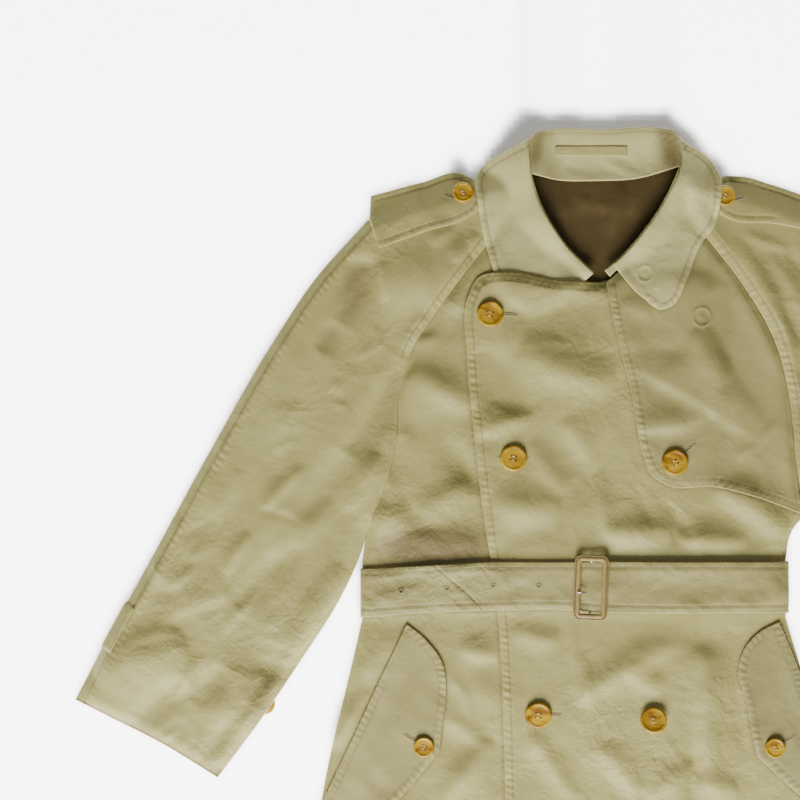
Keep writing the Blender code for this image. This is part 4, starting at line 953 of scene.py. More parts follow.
rightSleeveCreases = [
    (-499, 551, -434, 532, -10, 1.3, 10.8, 6), (-459, 518, -383, 488, -4, 1.7, 21.6, 9),
    (-528, 576, -427, 545, -4, 4.1, 19.2, 34), (-492, 631, -432, 579, 2, -3.9, 12, 18),
    (-463, 648, -436, 629, 0, 1.3, 7.2, 5), (-448, 604, -413, 555, 0, 1.6, 9, 6),
    (-425, 602, -390, 568, 0, -3.6, 12, 16.8), (-335, 576, -394, 677, 0, 4.4, 13, 20.4),
    (-266, 461, -329, 564, 0, 3.6, 12, 16.8), (-312, 439, -379, 503, 2, -3.5, 16.2, 13),
    (-352, 482, -392, 532, 0, 1.4, 4, 9), (-352, 402, -308, 356, 0, 1.8, 10.8, 6),
    (-390, 468, -363, 426, 0, 1.9, 10.8, 6), (-440, 430, -397, 404, 2, -0.7, 3, 5.4),
    (-356, 400, -301, 420, -2, -0.7, 3, 5.4), (-194, 238, -264, 343, 0, -3.4, 21.6, 10),
    (-264, 341, -312, 413, 0, -3.2, 16.8, 14), (-234, 156, -276, 203, 0, -2, 16.2, 6),
    (-293, 234, -272, 205, 0, -2.5, 8, 14.4), (-266, 144, -230, 142, 2, -2.5, 8, 21.6),
    (-225, 184, -227, 142, 0, 1.6, 5, 9), (-251, 245, -219, 228, -2, 0.7, 5.4, 3),
    (-285, 274, -264, 278, -2, 0.8, 7.2, 4), (-282, 289, -261, 296, 0, 0.7, 5.4, 3),
    (-234, 210, -228, 231, 0, 0.6, 4.5, 2.5), (-259, 256, -252, 267, 0, 0.5, 4.5, 2.5),
    (-152, 142, -125, 112, 0, 2, 12.6, 7), (-175, 124, -152, 106, 0, 1.5, 12.6, 7),
    (-203, 234, -165, 201, 0, 1.8, 12.6, 8), (-196, 209, -177, 201, 0, 0.8, 7.2, 4),
    (-341, 341, -314, 329, 0, 0.8, 7.2, 3), (-429, 455, -401, 439, 0, 0.8, 9, 4),
    (-469, 455, -446, 486, 0, 1.4, 14.4, 8), (-486, 509, -459, 465, 0, 1.5, 10.8, 7),
    (-448, 486, -421, 461, 0, 1.4, 9, 6), (-359, 539, -328, 509, 0, 0.8, 10.8, 6),
    (-364, 549, -316, 564, 0, 0.6, 7.2, 4), (-356, 534, -312, 551, 0, 0.5, 6.3, 3.5),
    (-280, 392, -312, 439, 0, 1.1, 10, 18), (-230, 341, -259, 404, 0, 2.7, 10, 16.2),
    (-312, 287, -343, 329, 0, 1.3, 12, 14.4), (-375, 360, -404, 413, 0, 1.3, 10, 18),
    (-230, 177, -131, 142, 0, 3.9, 36, 30), (-419, 671, -364, 602, 0, -2.4, 9, 23.4),
    (-364, 602, -320, 539, 0, -1.2, 8, 18), (-463, 642, -432, 625, 0, -1.7, 7, 16.2),
    (-312, 360, -352, 434, 0, 0.8, 9, 18),
]
leftSleeveCreases = [
    (142, 117, 212, 253, -6, 2.3, 10.8, 10), (180, 135, 226, 213, -4, 1.2, 7, 8),
    (198, 129, 226, 167, -2, -1, 6, 6), (188, 182, 213, 230, -2, -0.9, 5, 5),
    (207, 234, 226, 329, -3, -1.2, 7, 7), (150, 110, 203, 129, 2, 1, 6, 5),
    (203, 297, 219, 392, 0, 1.9, 10.8, 9), (197, 182, 213, 188, 0, 0.7, 4, 4),
    (255, 213, 323, 339, 0, 3.1, 14.4, 14),
]
standCreases = [
    (-17, 32, 17, 46, -2, -0.5, 4, 3), (19, 30, 37, 37, 0, -0.4, 2.5, 2.5),
    (-51, 38, -18, 43, 0, -0.5, 3, 3), (3, 34, 45, 49, 2, 0.9, 5, 4), (-43, 33, -26, 50, 0, 0.6, 4, 4),
    (45, 14, 70, 43, 0, -1, 8, 8), (-67, 14, -60, 43, 0, 0.8, 5, 5),
]
liningCreases = [
    (-39, 62, -30, 119, 0, 1.2, 7, 8), (29, 58, 14, 114, 0, 1.4, 7, 8), (-7, 60, 3, 124, 0, -1, 6, 6),
    (-55, 66, -43, 100, 0, 0.7, 4, 5), (51, 54, 35, 91, 0, 0.9, 4, 5), (-26, 72, 16, 83, 2, 0.7, 4, 4),
]

def mirrorCreases(rows):
    return [(-x0, y0, -x1, y1, -bow, rise, right, left) for x0, y0, x1, y1, bow, rise, left, right in rows]


hiddenSleeveCreases = [row for row in mirrorCreases(rightSleeveCreases) if min(row[0], row[2]) > 225]
hemCreases = [
    (-205, 800, -250, 1080, 0, 4.5, 30, 26), (-150, 770, -180, 1060, 0, 2.5, 20, 24),
    (-60, 760, -52, 1070, 0, 4.0, 30, 30), (10, 740, 18, 1000, 0, 2.5, 20, 16),
    (88, 790, 110, 1080, 0, 4.5, 30, 34), (170, 760, 190, 1000, 0, 2.6, 18, 22),
    (215, 780, 262, 1080, 0, 4.5, 26, 30), (-120, 720, -95, 800, 0, 2.0, 14, 12),
]


def seam(rows, inset, **more):
    return {"path": insetPath(rows, inset), **more}


def beltLines(start, end):
    # the belt's top edge from start to end and its bottom edge back again
    stops = [row[0] for row in beltEdges]
    inner = [stop for stop in stops if start + 3 < stop < end - 3]
    lines = []
    for column in (1, 2):
        at = [(x, float(np.interp(x, stops, [row[column] for row in beltEdges])))
              for x in (start, *inner, end)]
        lines.append([(*at[0], corner), *at[1:-1], (*at[-1], corner)])
    return lines


# Space that the cuff straps take under the sleeves
cuffStrap = {
    "start": (-508.0, 522.5), "turn": 28.6, "reach": 179.0, "halfWidth": 27.0,
    "rise": 143.0, "level": 162.0, "buttonAlong": 180.0, "buttonAside": -2.0,
    "taperAt": (0, 150, 168, 175, 179), "taper": (1.0, 0.85, 0.8, 0.6, 0.3),       # its pointed end
}


def strapSpot(along, aside, side=1):
    turn = math.radians(cuffStrap["turn"])
    across = cuffStrap["start"][0] + along * math.cos(turn) - aside * math.sin(turn)
    drop = cuffStrap["start"][1] + along * math.sin(turn) + aside * math.cos(turn)
    return side * across, drop


def keepStrapSpace(side):
    half = cuffStrap["halfWidth"]
    for start, height in ((-4.0, 1.5), (cuffStrap["rise"] - 10.0, 6.2)):
        ends = [(start, -half), (cuffStrap["reach"], -half), (cuffStrap["reach"], half), (start, half)]
        mask = maskOf(np.array([strapSpot(*end, side) for end in ends]))
        pile[mask] = np.maximum(pile[mask], height)


keepStrapSpace(1)
keepStrapSpace(-1)

# The pieces, laid from the floor up
beltBack = {
    "name": "beltBack", "node": "belt_back", "thickness": 2.0, "spacing": 12.0, "rings": (1.3, 5.0),
    "edge": [(-248.8, 464, corner), (-196, 460.5), (0, 455.4), (201.3, 456, corner), (201.3, 510, corner),
             (0, 508.5), (-196, 511), (-248.8, 515.6, corner)],
    "finish": trimCloth, "restsOn": [],
}
layPanel(beltBack)
collarBack = {
    "name": "collarBack", "node": "collar_back", "edge": collarBackEdge, "thickness": 2.0, "spacing": 6.0,
    "roll": backRoll, "finish": trimCloth, "restsOn": [], "rim": 1.6,
}
layPanel(collarBack)
backPanel = {
    "name": "backPanel", "node": "back",
    "edge": neckToRaglan + rightRaglan + rightSide + hem + leftSide + turned(leftRaglan)[1:]
    + [(84, 46, corner)] + turned(backNeck),
    "spacing": 9.0, "rings": (0.5, 3.0), "restsOn": ["beltBack", "collarBack"],
}
layPanel(backPanel)
backLining = {
    "name": "backLining", "node": "back_lining", "edge": liningEdge, "spacing": 5.0, "thickness": 1.2,
    "finish": innerCloth, "slot": "lining", "restsOn": ["backPanel"],
    "uneven": [(26.0, 1.1, 3, 2.2, 80.0), (11.0, 0.35, 4, 2.0, 60.0)], "creases": liningCreases,
}
layPanel(backLining)
frontOver = {
    "name": "frontOver", "node": "front_over",
    "edge": overEdge + hem[1:] + leftSide + turned(leftRaglan)[1:-1] + [(99, 97, corner)]
    + turned(mirrored(rightFrontNeck)),
    "creases": frontOverCreases + hemCreases, "belted": True, "spacing": 4.0, "puff": (3.6, 8.0),
    "fadesUnder": [gunFlap, leftPocketFlap, leftLeaf],
    "stitches": [seam(overEdge, -8.8, pucker=0.6, band=(-1.0, 6.5))],
    "uneven": [(52.0, 1.9, 11, 1.6, 20.0), (21.0, 1.15, 12, 1.8, -35.0), (9.0, 0.22, 14, 1.6, 15.0)],
    "edgeRipple": 0.25,
    "paintedEdgeShadows": [curveThrough(line, False) for line in
               (gunFlap[:9], leftLeaf[8:], leftPocketFlap + leftPocketFlap[:1], leftRaglan,
                *beltLines(-110, 199))],
    "restsOn": ["backPanel", "backLining", "frontUnder", "rightLeafPiece"],
}
frontUnder = {
    "name": "frontUnder", "node": "front_under",
    "edge": rightFrontNeck + turned(mirrored(overEdge)) + turned(hem)[1:] + turned(rightSide)
    + turned(rightRaglan) + [(-97, 100)],
    "creases": frontUnderCreases + hemCreases, "belted": True,
    "fadesUnder": [frontOver["edge"], rightPocketFlap, rightLeaf], "spacing": 4.2, "puff": (3.6, 10.0),
    # the dark patch above the belt is painted shade of a fold, not a stain
    "stainsAndShades": [(-170.0, 441.0, 52.0, 19.0, 0.0, 2.2)],
    "uneven": [(52.0, 1.9, 11, 1.6, 20.0), (21.0, 1.15, 13, 1.8, 35.0), (9.0, 0.22, 16, 1.6, 15.0)],
    "paintedEdgeShadows": [curveThrough(line, False) for line in
               (overEdge, rightLeaf[7:], rightPocketFlap + rightPocketFlap[:1], rightRaglan,
                *beltLines(-246, -90))],
    "restsOn": ["backPanel", "backLining"],
}
layPanel(frontUnder)


def sleevePieces(side):
    if side < 0:
        edge = sleeveTop + [(-99.5, 97)] + rightRaglan + sleeveInner + cuff + sleeveOuter + shoulder
        name, cloth, seamLine = "Right", rightSleeveCloth, rightRaglan
    else:
        edge = mirrored(sleeveTop + [(-99, 97, corner)] + turned(mirrored(leftRaglan[1:])) + sleeveInner[4:]
                        + cuff + sleeveOuter + shoulder)
        name, cloth, seamLine = "Left", leftSleeveCloth, leftRaglan
    overarm = insetPath(cuff[-1:] + sleeveOuter, 10.5)
    cuffLine = insetPath(sleeveInner[-1:] + cuff, 2.6)
    raglanLine = insetPath([(-99.5, 97)] + rightRaglan, 7.0)
    if side > 0:
        overarm, cuffLine = overarm * (-1, 1), cuffLine * (-1, 1)
        raglanLine = insetPath(leftRaglan, -6.5)
    lower = {
        "name": "sleeveBack" + name, "node": "sleeve_" + name.lower() + "_back", "edge": edge,
        "shift": side * -1.4, "spacing": 5.0, "rings": (0.6, 3.0), "rim": 1.5, "finish": cloth,
        "meets": seamLine, "softness": 6.0, "restsOn": ["backPanel", "collarBack"],
    }
    upper = {
        "name": "sleeveFront" + name, "node": "sleeve_" + name.lower() + "_front", "edge": edge,
        "shift": side * -1.4, "spacing": 3.6, "rim": 1.3, "finish": cloth,
        "creases": rightSleeveCreases if side < 0 else leftSleeveCreases + hiddenSleeveCreases,
        "stainsAndShades": sleeveStains if side < 0 else [], "meets": seamLine,
        "puff": (5.5, 9.0), "softness": 6.0,
        "stitches": [
            {"path": overarm, "pucker": 0.45, "depth": 0.9, "band": (0.5, 8.0) if side < 0 else (-8.0, -0.5)},
            {"path": cuffLine, "pucker": 0.0, "depth": 0.5, "width": 0.9, "plain": True},
            {"path": raglanLine, "pucker": 0.55, "band": (-7.0, 0.0) if side < 0 else (-1.0, 6.5)},
        ],
        "uneven": [(44.0, 1.6, 21 + side, 2.0, 118.0), (18.0, 0.7, 23 + side, 2.0, 60.0),
                   (8.0, 0.2, 25 + side, 1.6, 120.0)],
        "restsOn": [lower["name"]],
    }
    return lower, upper


sleeveBackRight, sleeveFrontRight = sleevePieces(-1)
layPanel(sleeveBackRight)
rightSleeveTop = layPanel(sleeveFrontRight)
epauletteRight = {
    "name": "epauletteRight", "node": "epaulette_right", "edge": rightEpaulette, "thickness": 2.0,
    "spacing": 3.4, "finish": trimCloth,
    "stitches": [seam(rightEpaulette[:-1], 6.5, pucker=0.5, depth=0.8, band=(-6.5, 0.4))],
    "restsOn": ["sleeveFrontRight", "frontUnder"], "puff": (0.9, 3.0),
    "uneven": [(26.0, 1.6, 31, 2.0, 80.0), (9.0, 0.4, 32, 2.0, 50.0)],
}
epauletteRightTop = layPanel(epauletteRight)
collarStandPiece = {
    "name": "collarStandPiece", "node": "collar_stand", "edge": collarStand, "thickness": 2.0,
    "spacing": 3.6, "roll": backRoll + neckRoll, "finish": collarCloth, "rim": 1.4,
    # the two dark patches at the stand's ends are painted shade from the collar's roll
    "stainsAndShades": [(77.0, 27.0, 30.0, 12.0, 75.0, 1.2), (-66.0, 30.0, 26.0, 8.0, -75.0, 1.0)],
    "restsOn": ["collarBack", "backPanel", "backLining", "frontUnder", "sleeveFrontRight"],
    "uneven": [(14.0, 0.5, 33, 2.5, 0.0)], "creases": standCreases,
    "stitches": [{"path": insetPath(collarStand[4:13], 3.8), "pucker": 0.0, "depth": 0.7, "width": 0.7,
                  "plain": True}],
}
layPanel(collarStandPiece)
hangerLoopPiece = {
    "name": "hangerLoopPiece", "node": "hanger_loop", "edge": hangerLoop, "thickness": 1.2, "spacing": 3.0,
    "rim": 0.6, "rings": (0.45, 1.4), "edgeStep": 2.0, "restsOn": ["collarStandPiece"],
    "finish": bodyCloth,
}
loopTop = layPanel(hangerLoopPiece)
rightLeafPiece = {
    "name": "rightLeafPiece", "node": "collar_right", "edge": rightLeaf, "thickness": 2.0, "spacing": 3.4,
    "roll": neckRoll, "finish": collarCloth, "rim": 1.3,
    "stitches": [seam(rightLeaf[5:], -7.0, pucker=0.42, depth=0.8, band=(-0.4, 7.0))],
    "puff": (0.8, 3.0), "uneven": [(24.0, 1.1, 35, 1.6, 60.0), (9.0, 0.35, 34, 1.6, 20.0)],
    "restsOn": ["collarStandPiece", "frontUnder", "sleeveFrontRight", "epauletteRight"],
}
layPanel(rightLeafPiece)
frontOverTop = layPanel(frontOver)
gunFlapPiece = {
    "name": "gunFlapPiece", "node": "gun_flap", "edge": gunFlap, "shift": -1.0, "spacing": 3.8,
    "puff": (1.6, 6.0), "creases": gunFlapCreases,
    "stitches": [seam(gunFlap[:9], -7.5, pucker=0.55, band=(-1.0, 6.5))],
    "rings3d": [(109.2, 199.5, 9.6, 0.75, 1.7), (109.2, 199.5, 0.0, 0.45, 2.6)],
    "finer": [(109.2, 199.5, 13.5)],
    "finish": shadedFlapCloth,
    "uneven": [(48.0, 1.7, 37, 1.6, 30.0), (18.0, 0.65, 38, 2.0, 30.0), (8.0, 0.2, 39, 1.6, 100.0)],
    "paintedEdgeShadows": [curveThrough(line, False) for line in (leftLeaf[7:], leftRaglan)],
    "restsOn": ["frontOver"], "edgeRipple": 0.2,
}
gunFlapTop = layPanel(gunFlapPiece)
sleeveBackLeft, sleeveFrontLeft = sleevePieces(1)
layPanel(sleeveBackLeft)
leftSleeveTop = layPanel(sleeveFrontLeft)
epauletteLeft = {
    "name": "epauletteLeft", "node": "epaulette_left", "edge": leftEpaulette, "thickness": 2.0,
    "spacing": 3.4, "finish": trimCloth,
    "stitches": [seam(leftEpaulette[:-1], -6.5, pucker=0.5, depth=0.8, band=(-0.4, 6.5))],
    "restsOn": ["sleeveFrontLeft", "frontOver", "gunFlapPiece"], "puff": (0.9, 3.0),
    "uneven": [(26.0, 1.2, 41, 2.0, 80.0), (9.0, 0.4, 42, 2.0, 50.0)],
}
epauletteLeftTop = layPanel(epauletteLeft)
pocketFlapRight = {
    "name": "pocketFlapRight", "node": "pocket_flap_right", "edge": rightPocketFlap, "thickness": 2.0,
    "spacing": 3.6, "stitches": [seam(rightPocketFlap, 7.5, pucker=0.5, band=(-7.5, 0.4))],
    "restsOn": ["frontUnder"], "puff": (1.0, 3.0),
    "uneven": [(34.0, 2.4, 43, 2.0, 120.0), (13.0, 0.8, 44, 2.0, 60.0), (5.5, 0.16, 45, 1.6, 100.0)],
    "finish": shadedFlapCloth,
}
pocketRightTop = layPanel(pocketFlapRight)
pocketFlapLeft = {
    "name": "pocketFlapLeft", "node": "pocket_flap_left", "edge": leftPocketFlap, "thickness": 2.0,
    "spacing": 3.6, "stitches": [seam(leftPocketFlap, 7.5, pucker=0.5, band=(-7.5, 0.4))],
    "restsOn": ["frontOver"], "puff": (1.0, 3.0),
    "uneven": [(34.0, 2.4, 46, 2.0, 60.0), (13.0, 0.8, 47, 2.0, 120.0), (5.5, 0.16, 48, 1.6, 80.0)],
    "finish": shadedLeftFlapCloth,
}
pocketLeftTop = layPanel(pocketFlapLeft)
print("panels laid")

holeLook = {"halfWidth": 0.95, "pitch": 0.95, "eyelet": 2.2}
holeThreads, shadeBeads = [], []


def workHole(surface, across, drop, length, turn):
    # a buttonhole: thread all round a slit of dark beads, which are painted shade
    c, s = math.cos(math.radians(turn)), math.sin(math.radians(turn))
    half, wide = length / 2, holeLook["halfWidth"]
    outline = [(half - wide + wide * math.cos(a), wide * math.sin(a)) for a in np.linspace(-1.57, 1.57, 7)]
    outline += [(-half + wide - wide * math.cos(a), -wide * math.sin(a)) for a in np.linspace(-1.57, 1.57, 7)]
    for points, store, lift in ((outline + outline[:1], holeThreads, 0.15),
                                ([(u, 0.0) for u in np.linspace(-half + 1.2, half - 1.2, 7)], shadeBeads, 0.12)):
        spots = np.array([(across + u * c - v * s, drop + u * s + v * c) for u, v in points])
        store.append([place(x, y, z + lift) for (x, y), z in zip(spots, surface(spots)[0])])


def workEyelet(surface, across, drop):
    spots = np.array([(across + holeLook["eyelet"] * math.cos(a), drop + holeLook["eyelet"] * math.sin(a))
                      for a in np.linspace(0, 2 * math.pi, 17)])
    holeThreads.append([place(x, y, z + 0.2) for (x, y), z in zip(spots, surface(spots)[0])])
    # a short row of dark beads across the hole: painted shade
    middle = np.array([(across + u, drop) for u in np.linspace(-0.9, 0.9, 5)])
    shadeBeads.append([place(x, y, z + 0.1) for (x, y), z in zip(middle, surface(middle)[0])])


def sewLine(surface, spots, kind="top"):
    path = curveThrough(spots, False, 1.2)
    threadRuns.append(([place(x, y, z + 0.12) for (x, y), z in zip(path, surface(path)[0])], kind))


def sewBox(surface, across, drop, width, height, turn):
    # a stitched rectangle that holds an end down
    c, s = math.cos(math.radians(turn)), math.sin(math.radians(turn))
    ends = [(across + u * width / 2 * c - v * height / 2 * s,
             drop + u * width / 2 * s + v * height / 2 * c, corner)
            for u, v in ((-1, -1), (1, -1), (1, 1), (-1, 1), (-1, -1))]
    sewLine(surface, ends)


sewBox(loopTop, -39.6, 25.4, 6.2, 7.4, 0.0)
sewBox(loopTop, 27.2, 25.4, 6.2, 7.4, 0.0)
# a row of dark beads along the loop's top edge: painted shadow
shadeBeads.append([place(x, 19.2, z + 0.1) for x, z in zip(np.arange(-43.0, 31.0, 1.6),
              loopTop(np.stack((np.arange(-43.0, 31.0, 1.6), np.full(47, 20.6)), axis=1))[1])])
workHole(frontOverTop, -92.0, 197.0, 17.0, 5.0)
workHole(frontOverTop, -88.0, 347.5, 33.0, 2.0)
workHole(frontOverTop, -47.0, 616.0, 17.0, 2.0)
workHole(gunFlapTop, 94.0, 339.0, 20.0, -38.0)
workHole(pocketRightTop, -193.0, 642.5, 21.0, 30.0)
workHole(pocketLeftTop, 199.0, 643.0, 20.0, -24.0)
workHole(epauletteRightTop, -153.0, 74.0, 16.0, 18.0)
workHole(epauletteLeftTop, 147.0, 76.0, 16.0, -14.0)
sewBox(pocketRightTop, -199.0, 532.0, 8.5, 8.5, -62.0)
sewBox(pocketLeftTop, 191.0, 530.5, 8.5, 8.5, 62.0)


def seatOf(across, drop, radius):
    turns = np.linspace(0, 2 * math.pi, 24, endpoint=False)
    rings = [np.stack((across + r * np.cos(turns), drop + r * np.sin(turns)), axis=1)
             for r in (0.1, 0.4 * radius, 0.75 * radius, 0.95 * radius)]
    return float(np.percentile(sample(pile, np.concatenate(rings)), 85))


hornLook = {
    "colour": (0.35, 0.195, 0.003), "pale": (0.5, 0.31, 0.01), "dark": (0.22, 0.09, 0.001),
    "stops": (0.34, 0.48, 0.66),        # of the dark, the middle and the pale horn
    "swirl": 62.0, "distortion": 0.8, "roughness": 0.4, "coat": 0.12, "gloss": 0.3,
}
buttonLook = {
    "profile": [
        (0.0, 0.0), (0.70, 0.0), (0.90, 0.14), (0.985, 0.34), (1.0, 0.50), (0.985, 0.68), (0.93, 0.90),
        (0.885, 0.985), (0.845, 1.0), (0.80, 0.975), (0.745, 0.88), (0.70, 0.82), (0.63, 0.785),
        (0.45, 0.765), (0.25, 0.76), (0.0, 0.76),
    ],
    "sides": 56, "thickness": 3.7, "front": 14.0, "small": 10.8, "hole": 0.95, "apart": (2.35, 2.05),
}


def hornFinish(name, seed):
    finish, nodes, links, shader = newFinish(name)
    source = nodes.new("ShaderNodeTexCoord")
    mapping = nodes.new("ShaderNodeMapping")
    mapping.inputs["Location"].default_value = (0.013 * seed, 0.007 * seed, 0.0)
    mapping.inputs["Scale"].default_value = (0.6, 1.5, 1.0)
    links.new(source.outputs["Object"], mapping.inputs["Vector"])
    swirl = nodes.new("ShaderNodeTexNoise")
    swirl.inputs["Scale"].default_value = hornLook["swirl"]
    swirl.inputs["Detail"].default_value = 2.5
    swirl.inputs["Distortion"].default_value = hornLook["distortion"]
    links.new(mapping.outputs["Vector"], swirl.inputs["Vector"])
    ramp = nodes.new("ShaderNodeValToRGB")
    ramp.color_ramp.elements[0].position = hornLook["stops"][0]
    ramp.color_ramp.elements[0].color = (*hornLook["dark"], 1.0)
    ramp.color_ramp.elements[1].position = hornLook["stops"][2]
    ramp.color_ramp.elements[1].color = (*hornLook["pale"], 1.0)
    middle = ramp.color_ramp.elements.new(hornLook["stops"][1])
    middle.color = (*hornLook["colour"], 1.0)
    links.new(swirl.outputs["Fac"], ramp.inputs["Fac"])
    links.new(ramp.outputs["Color"], shader.inputs["Base Color"])
    shader.inputs["Roughness"].default_value = hornLook["roughness"]
    shader.inputs["Coat Weight"].default_value = hornLook["coat"]
    shader.inputs["Coat Roughness"].default_value = 0.12
    shader.inputs["Specular IOR Level"].default_value = hornLook["gloss"]
    return finish


def lathe(name, profile, sides):
    vertices, faces = [], []
    for r, z in profile[1:-1]:
        for step in range(sides):
            turn = 2 * math.pi * step / sides
            vertices.append((r * math.cos(turn), r * math.sin(turn), z))
    rows = len(profile) - 2
    for row in range(rows - 1):
        for step in range(sides):
            after = (step + 1) % sides
            faces.append((row * sides + step, row * sides + after,
                          (row + 1) * sides + after, (row + 1) * sides + step))
    for row, level in ((0, profile[0][1]), (rows - 1, profile[-1][1])):
        centre = len(vertices)
        vertices.append((0.0, 0.0, level))
        for step in range(sides):
            after = (step + 1) % sides
            face = (row * sides + step, row * sides + after, centre)
            faces.append(face if row else face[::-1])
    mesh = bpy.data.meshes.new(name)
    mesh.from_pydata(vertices, [], faces)
    return mesh


def buttonMesh(radius):
    profile = [(r * radius * mm, z * buttonLook["thickness"] * mm) for r, z in buttonLook["profile"]]
    solid = bpy.data.objects.new("blank", lathe("blank", profile, buttonLook["sides"]))
    bpy.context.scene.collection.objects.link(solid)
    drill = bpy.data.meshes.new("drill")
    pins, faces = [], []
    scale = radius / buttonLook["front"]
    for x in (-1, 1):
        for y in (-1, 1):
            first = len(pins)
            for z in (-1.0, 8.0):
                for step in range(16):
                    turn = math.pi * step / 8
                    c, s = buttonLook["hole"] * math.cos(turn), buttonLook["hole"] * math.sin(turn)
                    pins.append(((x * buttonLook["apart"][0] * scale + c) * mm,
                                 (y * buttonLook["apart"][1] * scale + s) * mm,
                                 z * mm))
            faces.append(tuple(range(first + 15, first - 1, -1)))
            faces.append(tuple(range(first + 16, first + 32)))
            for step in range(16):
                after = (step + 1) % 16
                faces.append((first + step, first + after, first + 16 + after, first + 16 + step))
    drill.from_pydata(pins, [], faces)
    tool = bpy.data.objects.new("drill", drill)
    bpy.context.scene.collection.objects.link(tool)
    cut = solid.modifiers.new("holes", "BOOLEAN")
    cut.operation = "DIFFERENCE"
    cut.solver = "EXACT"
    cut.object = tool
    ready = solid.evaluated_get(bpy.context.evaluated_depsgraph_get())
    mesh = bpy.data.meshes.new_from_object(ready)
    bpy.data.objects.remove(solid)
    bpy.data.objects.remove(tool)
    mesh.shade_smooth()
    mesh.set_sharp_from_angle(angle=math.radians(50))
    return mesh


buttonMeshes = {radius: buttonMesh(radius) for radius in (buttonLook["front"], buttonLook["small"])}


def layButton(name, node, across, drop, radius, turn=0.0, facing=1, height=None, lift=0.25, lean=0.0):
    seat = seatOf(across, drop, radius) + lift if height is None else height
    mesh = buttonMeshes[radius].copy()
    mesh.name = name
    x, y, z = place(across, drop, seat)
    if facing < 0:
        mesh.transform(Matrix.Rotation(math.pi, 4, "X"))
        z += buttonLook["thickness"] * mm
    seated = Matrix.Translation((x, y, z)) @ Matrix.Rotation(lean, 4, "X") @ Matrix.Rotation(turn, 4, "Z")
    mesh.transform(seated)
    mesh.materials.append(hornFinish(name, across))
    built = bpy.data.objects.new(name, mesh)
    bpy.context.scene.collection.objects.link(built)
    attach(built, "root")
    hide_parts(node)
    spot = maskOf(np.array([(across + radius * math.cos(a), drop + radius * math.sin(a))
                            for a in np.linspace(0, 2 * math.pi, 24, endpoint=False)]))
    if facing > 0:
        pile[spot] = np.maximum(pile[spot], seat + buttonLook["thickness"])
        scale = radius / buttonLook["front"]
        wide, high = (gap * scale * mm for gap in buttonLook["apart"])
        top = (0.76 * buttonLook["thickness"] + 0.12) * mm
        for side in (-1, 1):
            buttonThreads.append([seated @ Vector((end * wide, side * high, top))
                                  for end in (-0.16, 0, 0.16)])


buttonThreads = []
front, small = buttonLook["front"], buttonLook["small"]
shankFoot = place(58.0, 621.0, seatOf(58.0, 621.0, front) - 1.0)
leaning = {"lift": 4.6, "lean": -0.2}       # the button that stands on a shank
buttonPlaces = [        # name, node, across, drop, radius, turn, more
    ("frontButtonUpperRight", "front_button_upper_right", -112.5, 196.5, front, -0.2, {}),
    ("frontButtonMiddleRight", "front_button_middle_right", -88.0, 347.5, front, -0.2, {}),
    ("frontButtonLowerRight", "front_button_lower_right", -62.0, 616.5, front, -0.1, {}),
    ("gunFlapButton", "gun_flap_button", 81.0, 352.0, front, 0.6, {}),
    ("frontButtonLowerLeft", "front_button_lower_left", 58.0, 621.5, front, 0.3, leaning),
    ("epauletteButtonRight", "epaulette_button_right", -141.0, 69.5, small, 0.3, {}),
    ("epauletteButtonLeft", "epaulette_button_left", 133.0, 73.0, small, -0.3, {}),
    ("pocketButtonRight", "pocket_button_right", -182.0, 650.0, small, -0.5, {}),
    ("pocketButtonLeft", "pocket_button_left", 186.0, 651.0, small, 0.5, {}),
]
for *values, more in buttonPlaces:
    layButton(*values, **more)
print("buttons")

leftLeafPiece = {
    "name": "leftLeafPiece", "node": "collar_left", "edge": leftLeaf, "thickness": 2.0, "spacing": 3.4,
    "roll": neckRoll, "finish": collarCloth, "rim": 1.3,
    "stitches": [seam(leftLeaf[5:-1], 7.0, pucker=0.42, depth=0.8, band=(-7.0, 0.4))],
    "rings3d": [(49.4, 154.4, 8.2, 0.65, 1.5), (49.4, 154.4, 0.0, 0.4, 2.2)], "finer": [(49.4, 154.4, 11.5)],
    "puff": (0.8, 3.0), "uneven": [(24.0, 1.1, 36, 1.6, 120.0), (9.0, 0.35, 37, 1.6, 160.0)],
    "restsOn": ["collarStandPiece", "frontOver", "gunFlapPiece", "sleeveFrontLeft", "epauletteLeft"],
}
layPanel(leftLeafPiece)


def beltPiece(name, node, start, end, wraps, under, **more):
    top, bottom = beltLines(start, end)
    piece = {
        "name": name, "node": node, "edge": top + turned(bottom), "thickness": 2.4, "spacing": 3.2,
        "rim": 1.0, "finish": shadedBeltCloth, "wraps": wraps, "restsOn": under,
        "stitches": [
            {"path": insetPath(top, 6.3), "pucker": 0.3, "depth": 0.8, "pitch": 4.7, "band": (-6.3, 0.4)},
            {"path": insetPath(bottom, -8.2), "pucker": 0.6, "depth": 0.8, "pitch": 4.7, "band": (-0.4, 8.2)},
        ],
        "uneven": [(30.0, 1.8, 51, 2.4, 8.0), (12.0, 1.3, 52, 2.4, -14.0), (5.5, 0.4, 53, 2.0, 24.0)],
        "puff": (1.3, 4.5),
    }
    piece.update(more)
    return piece


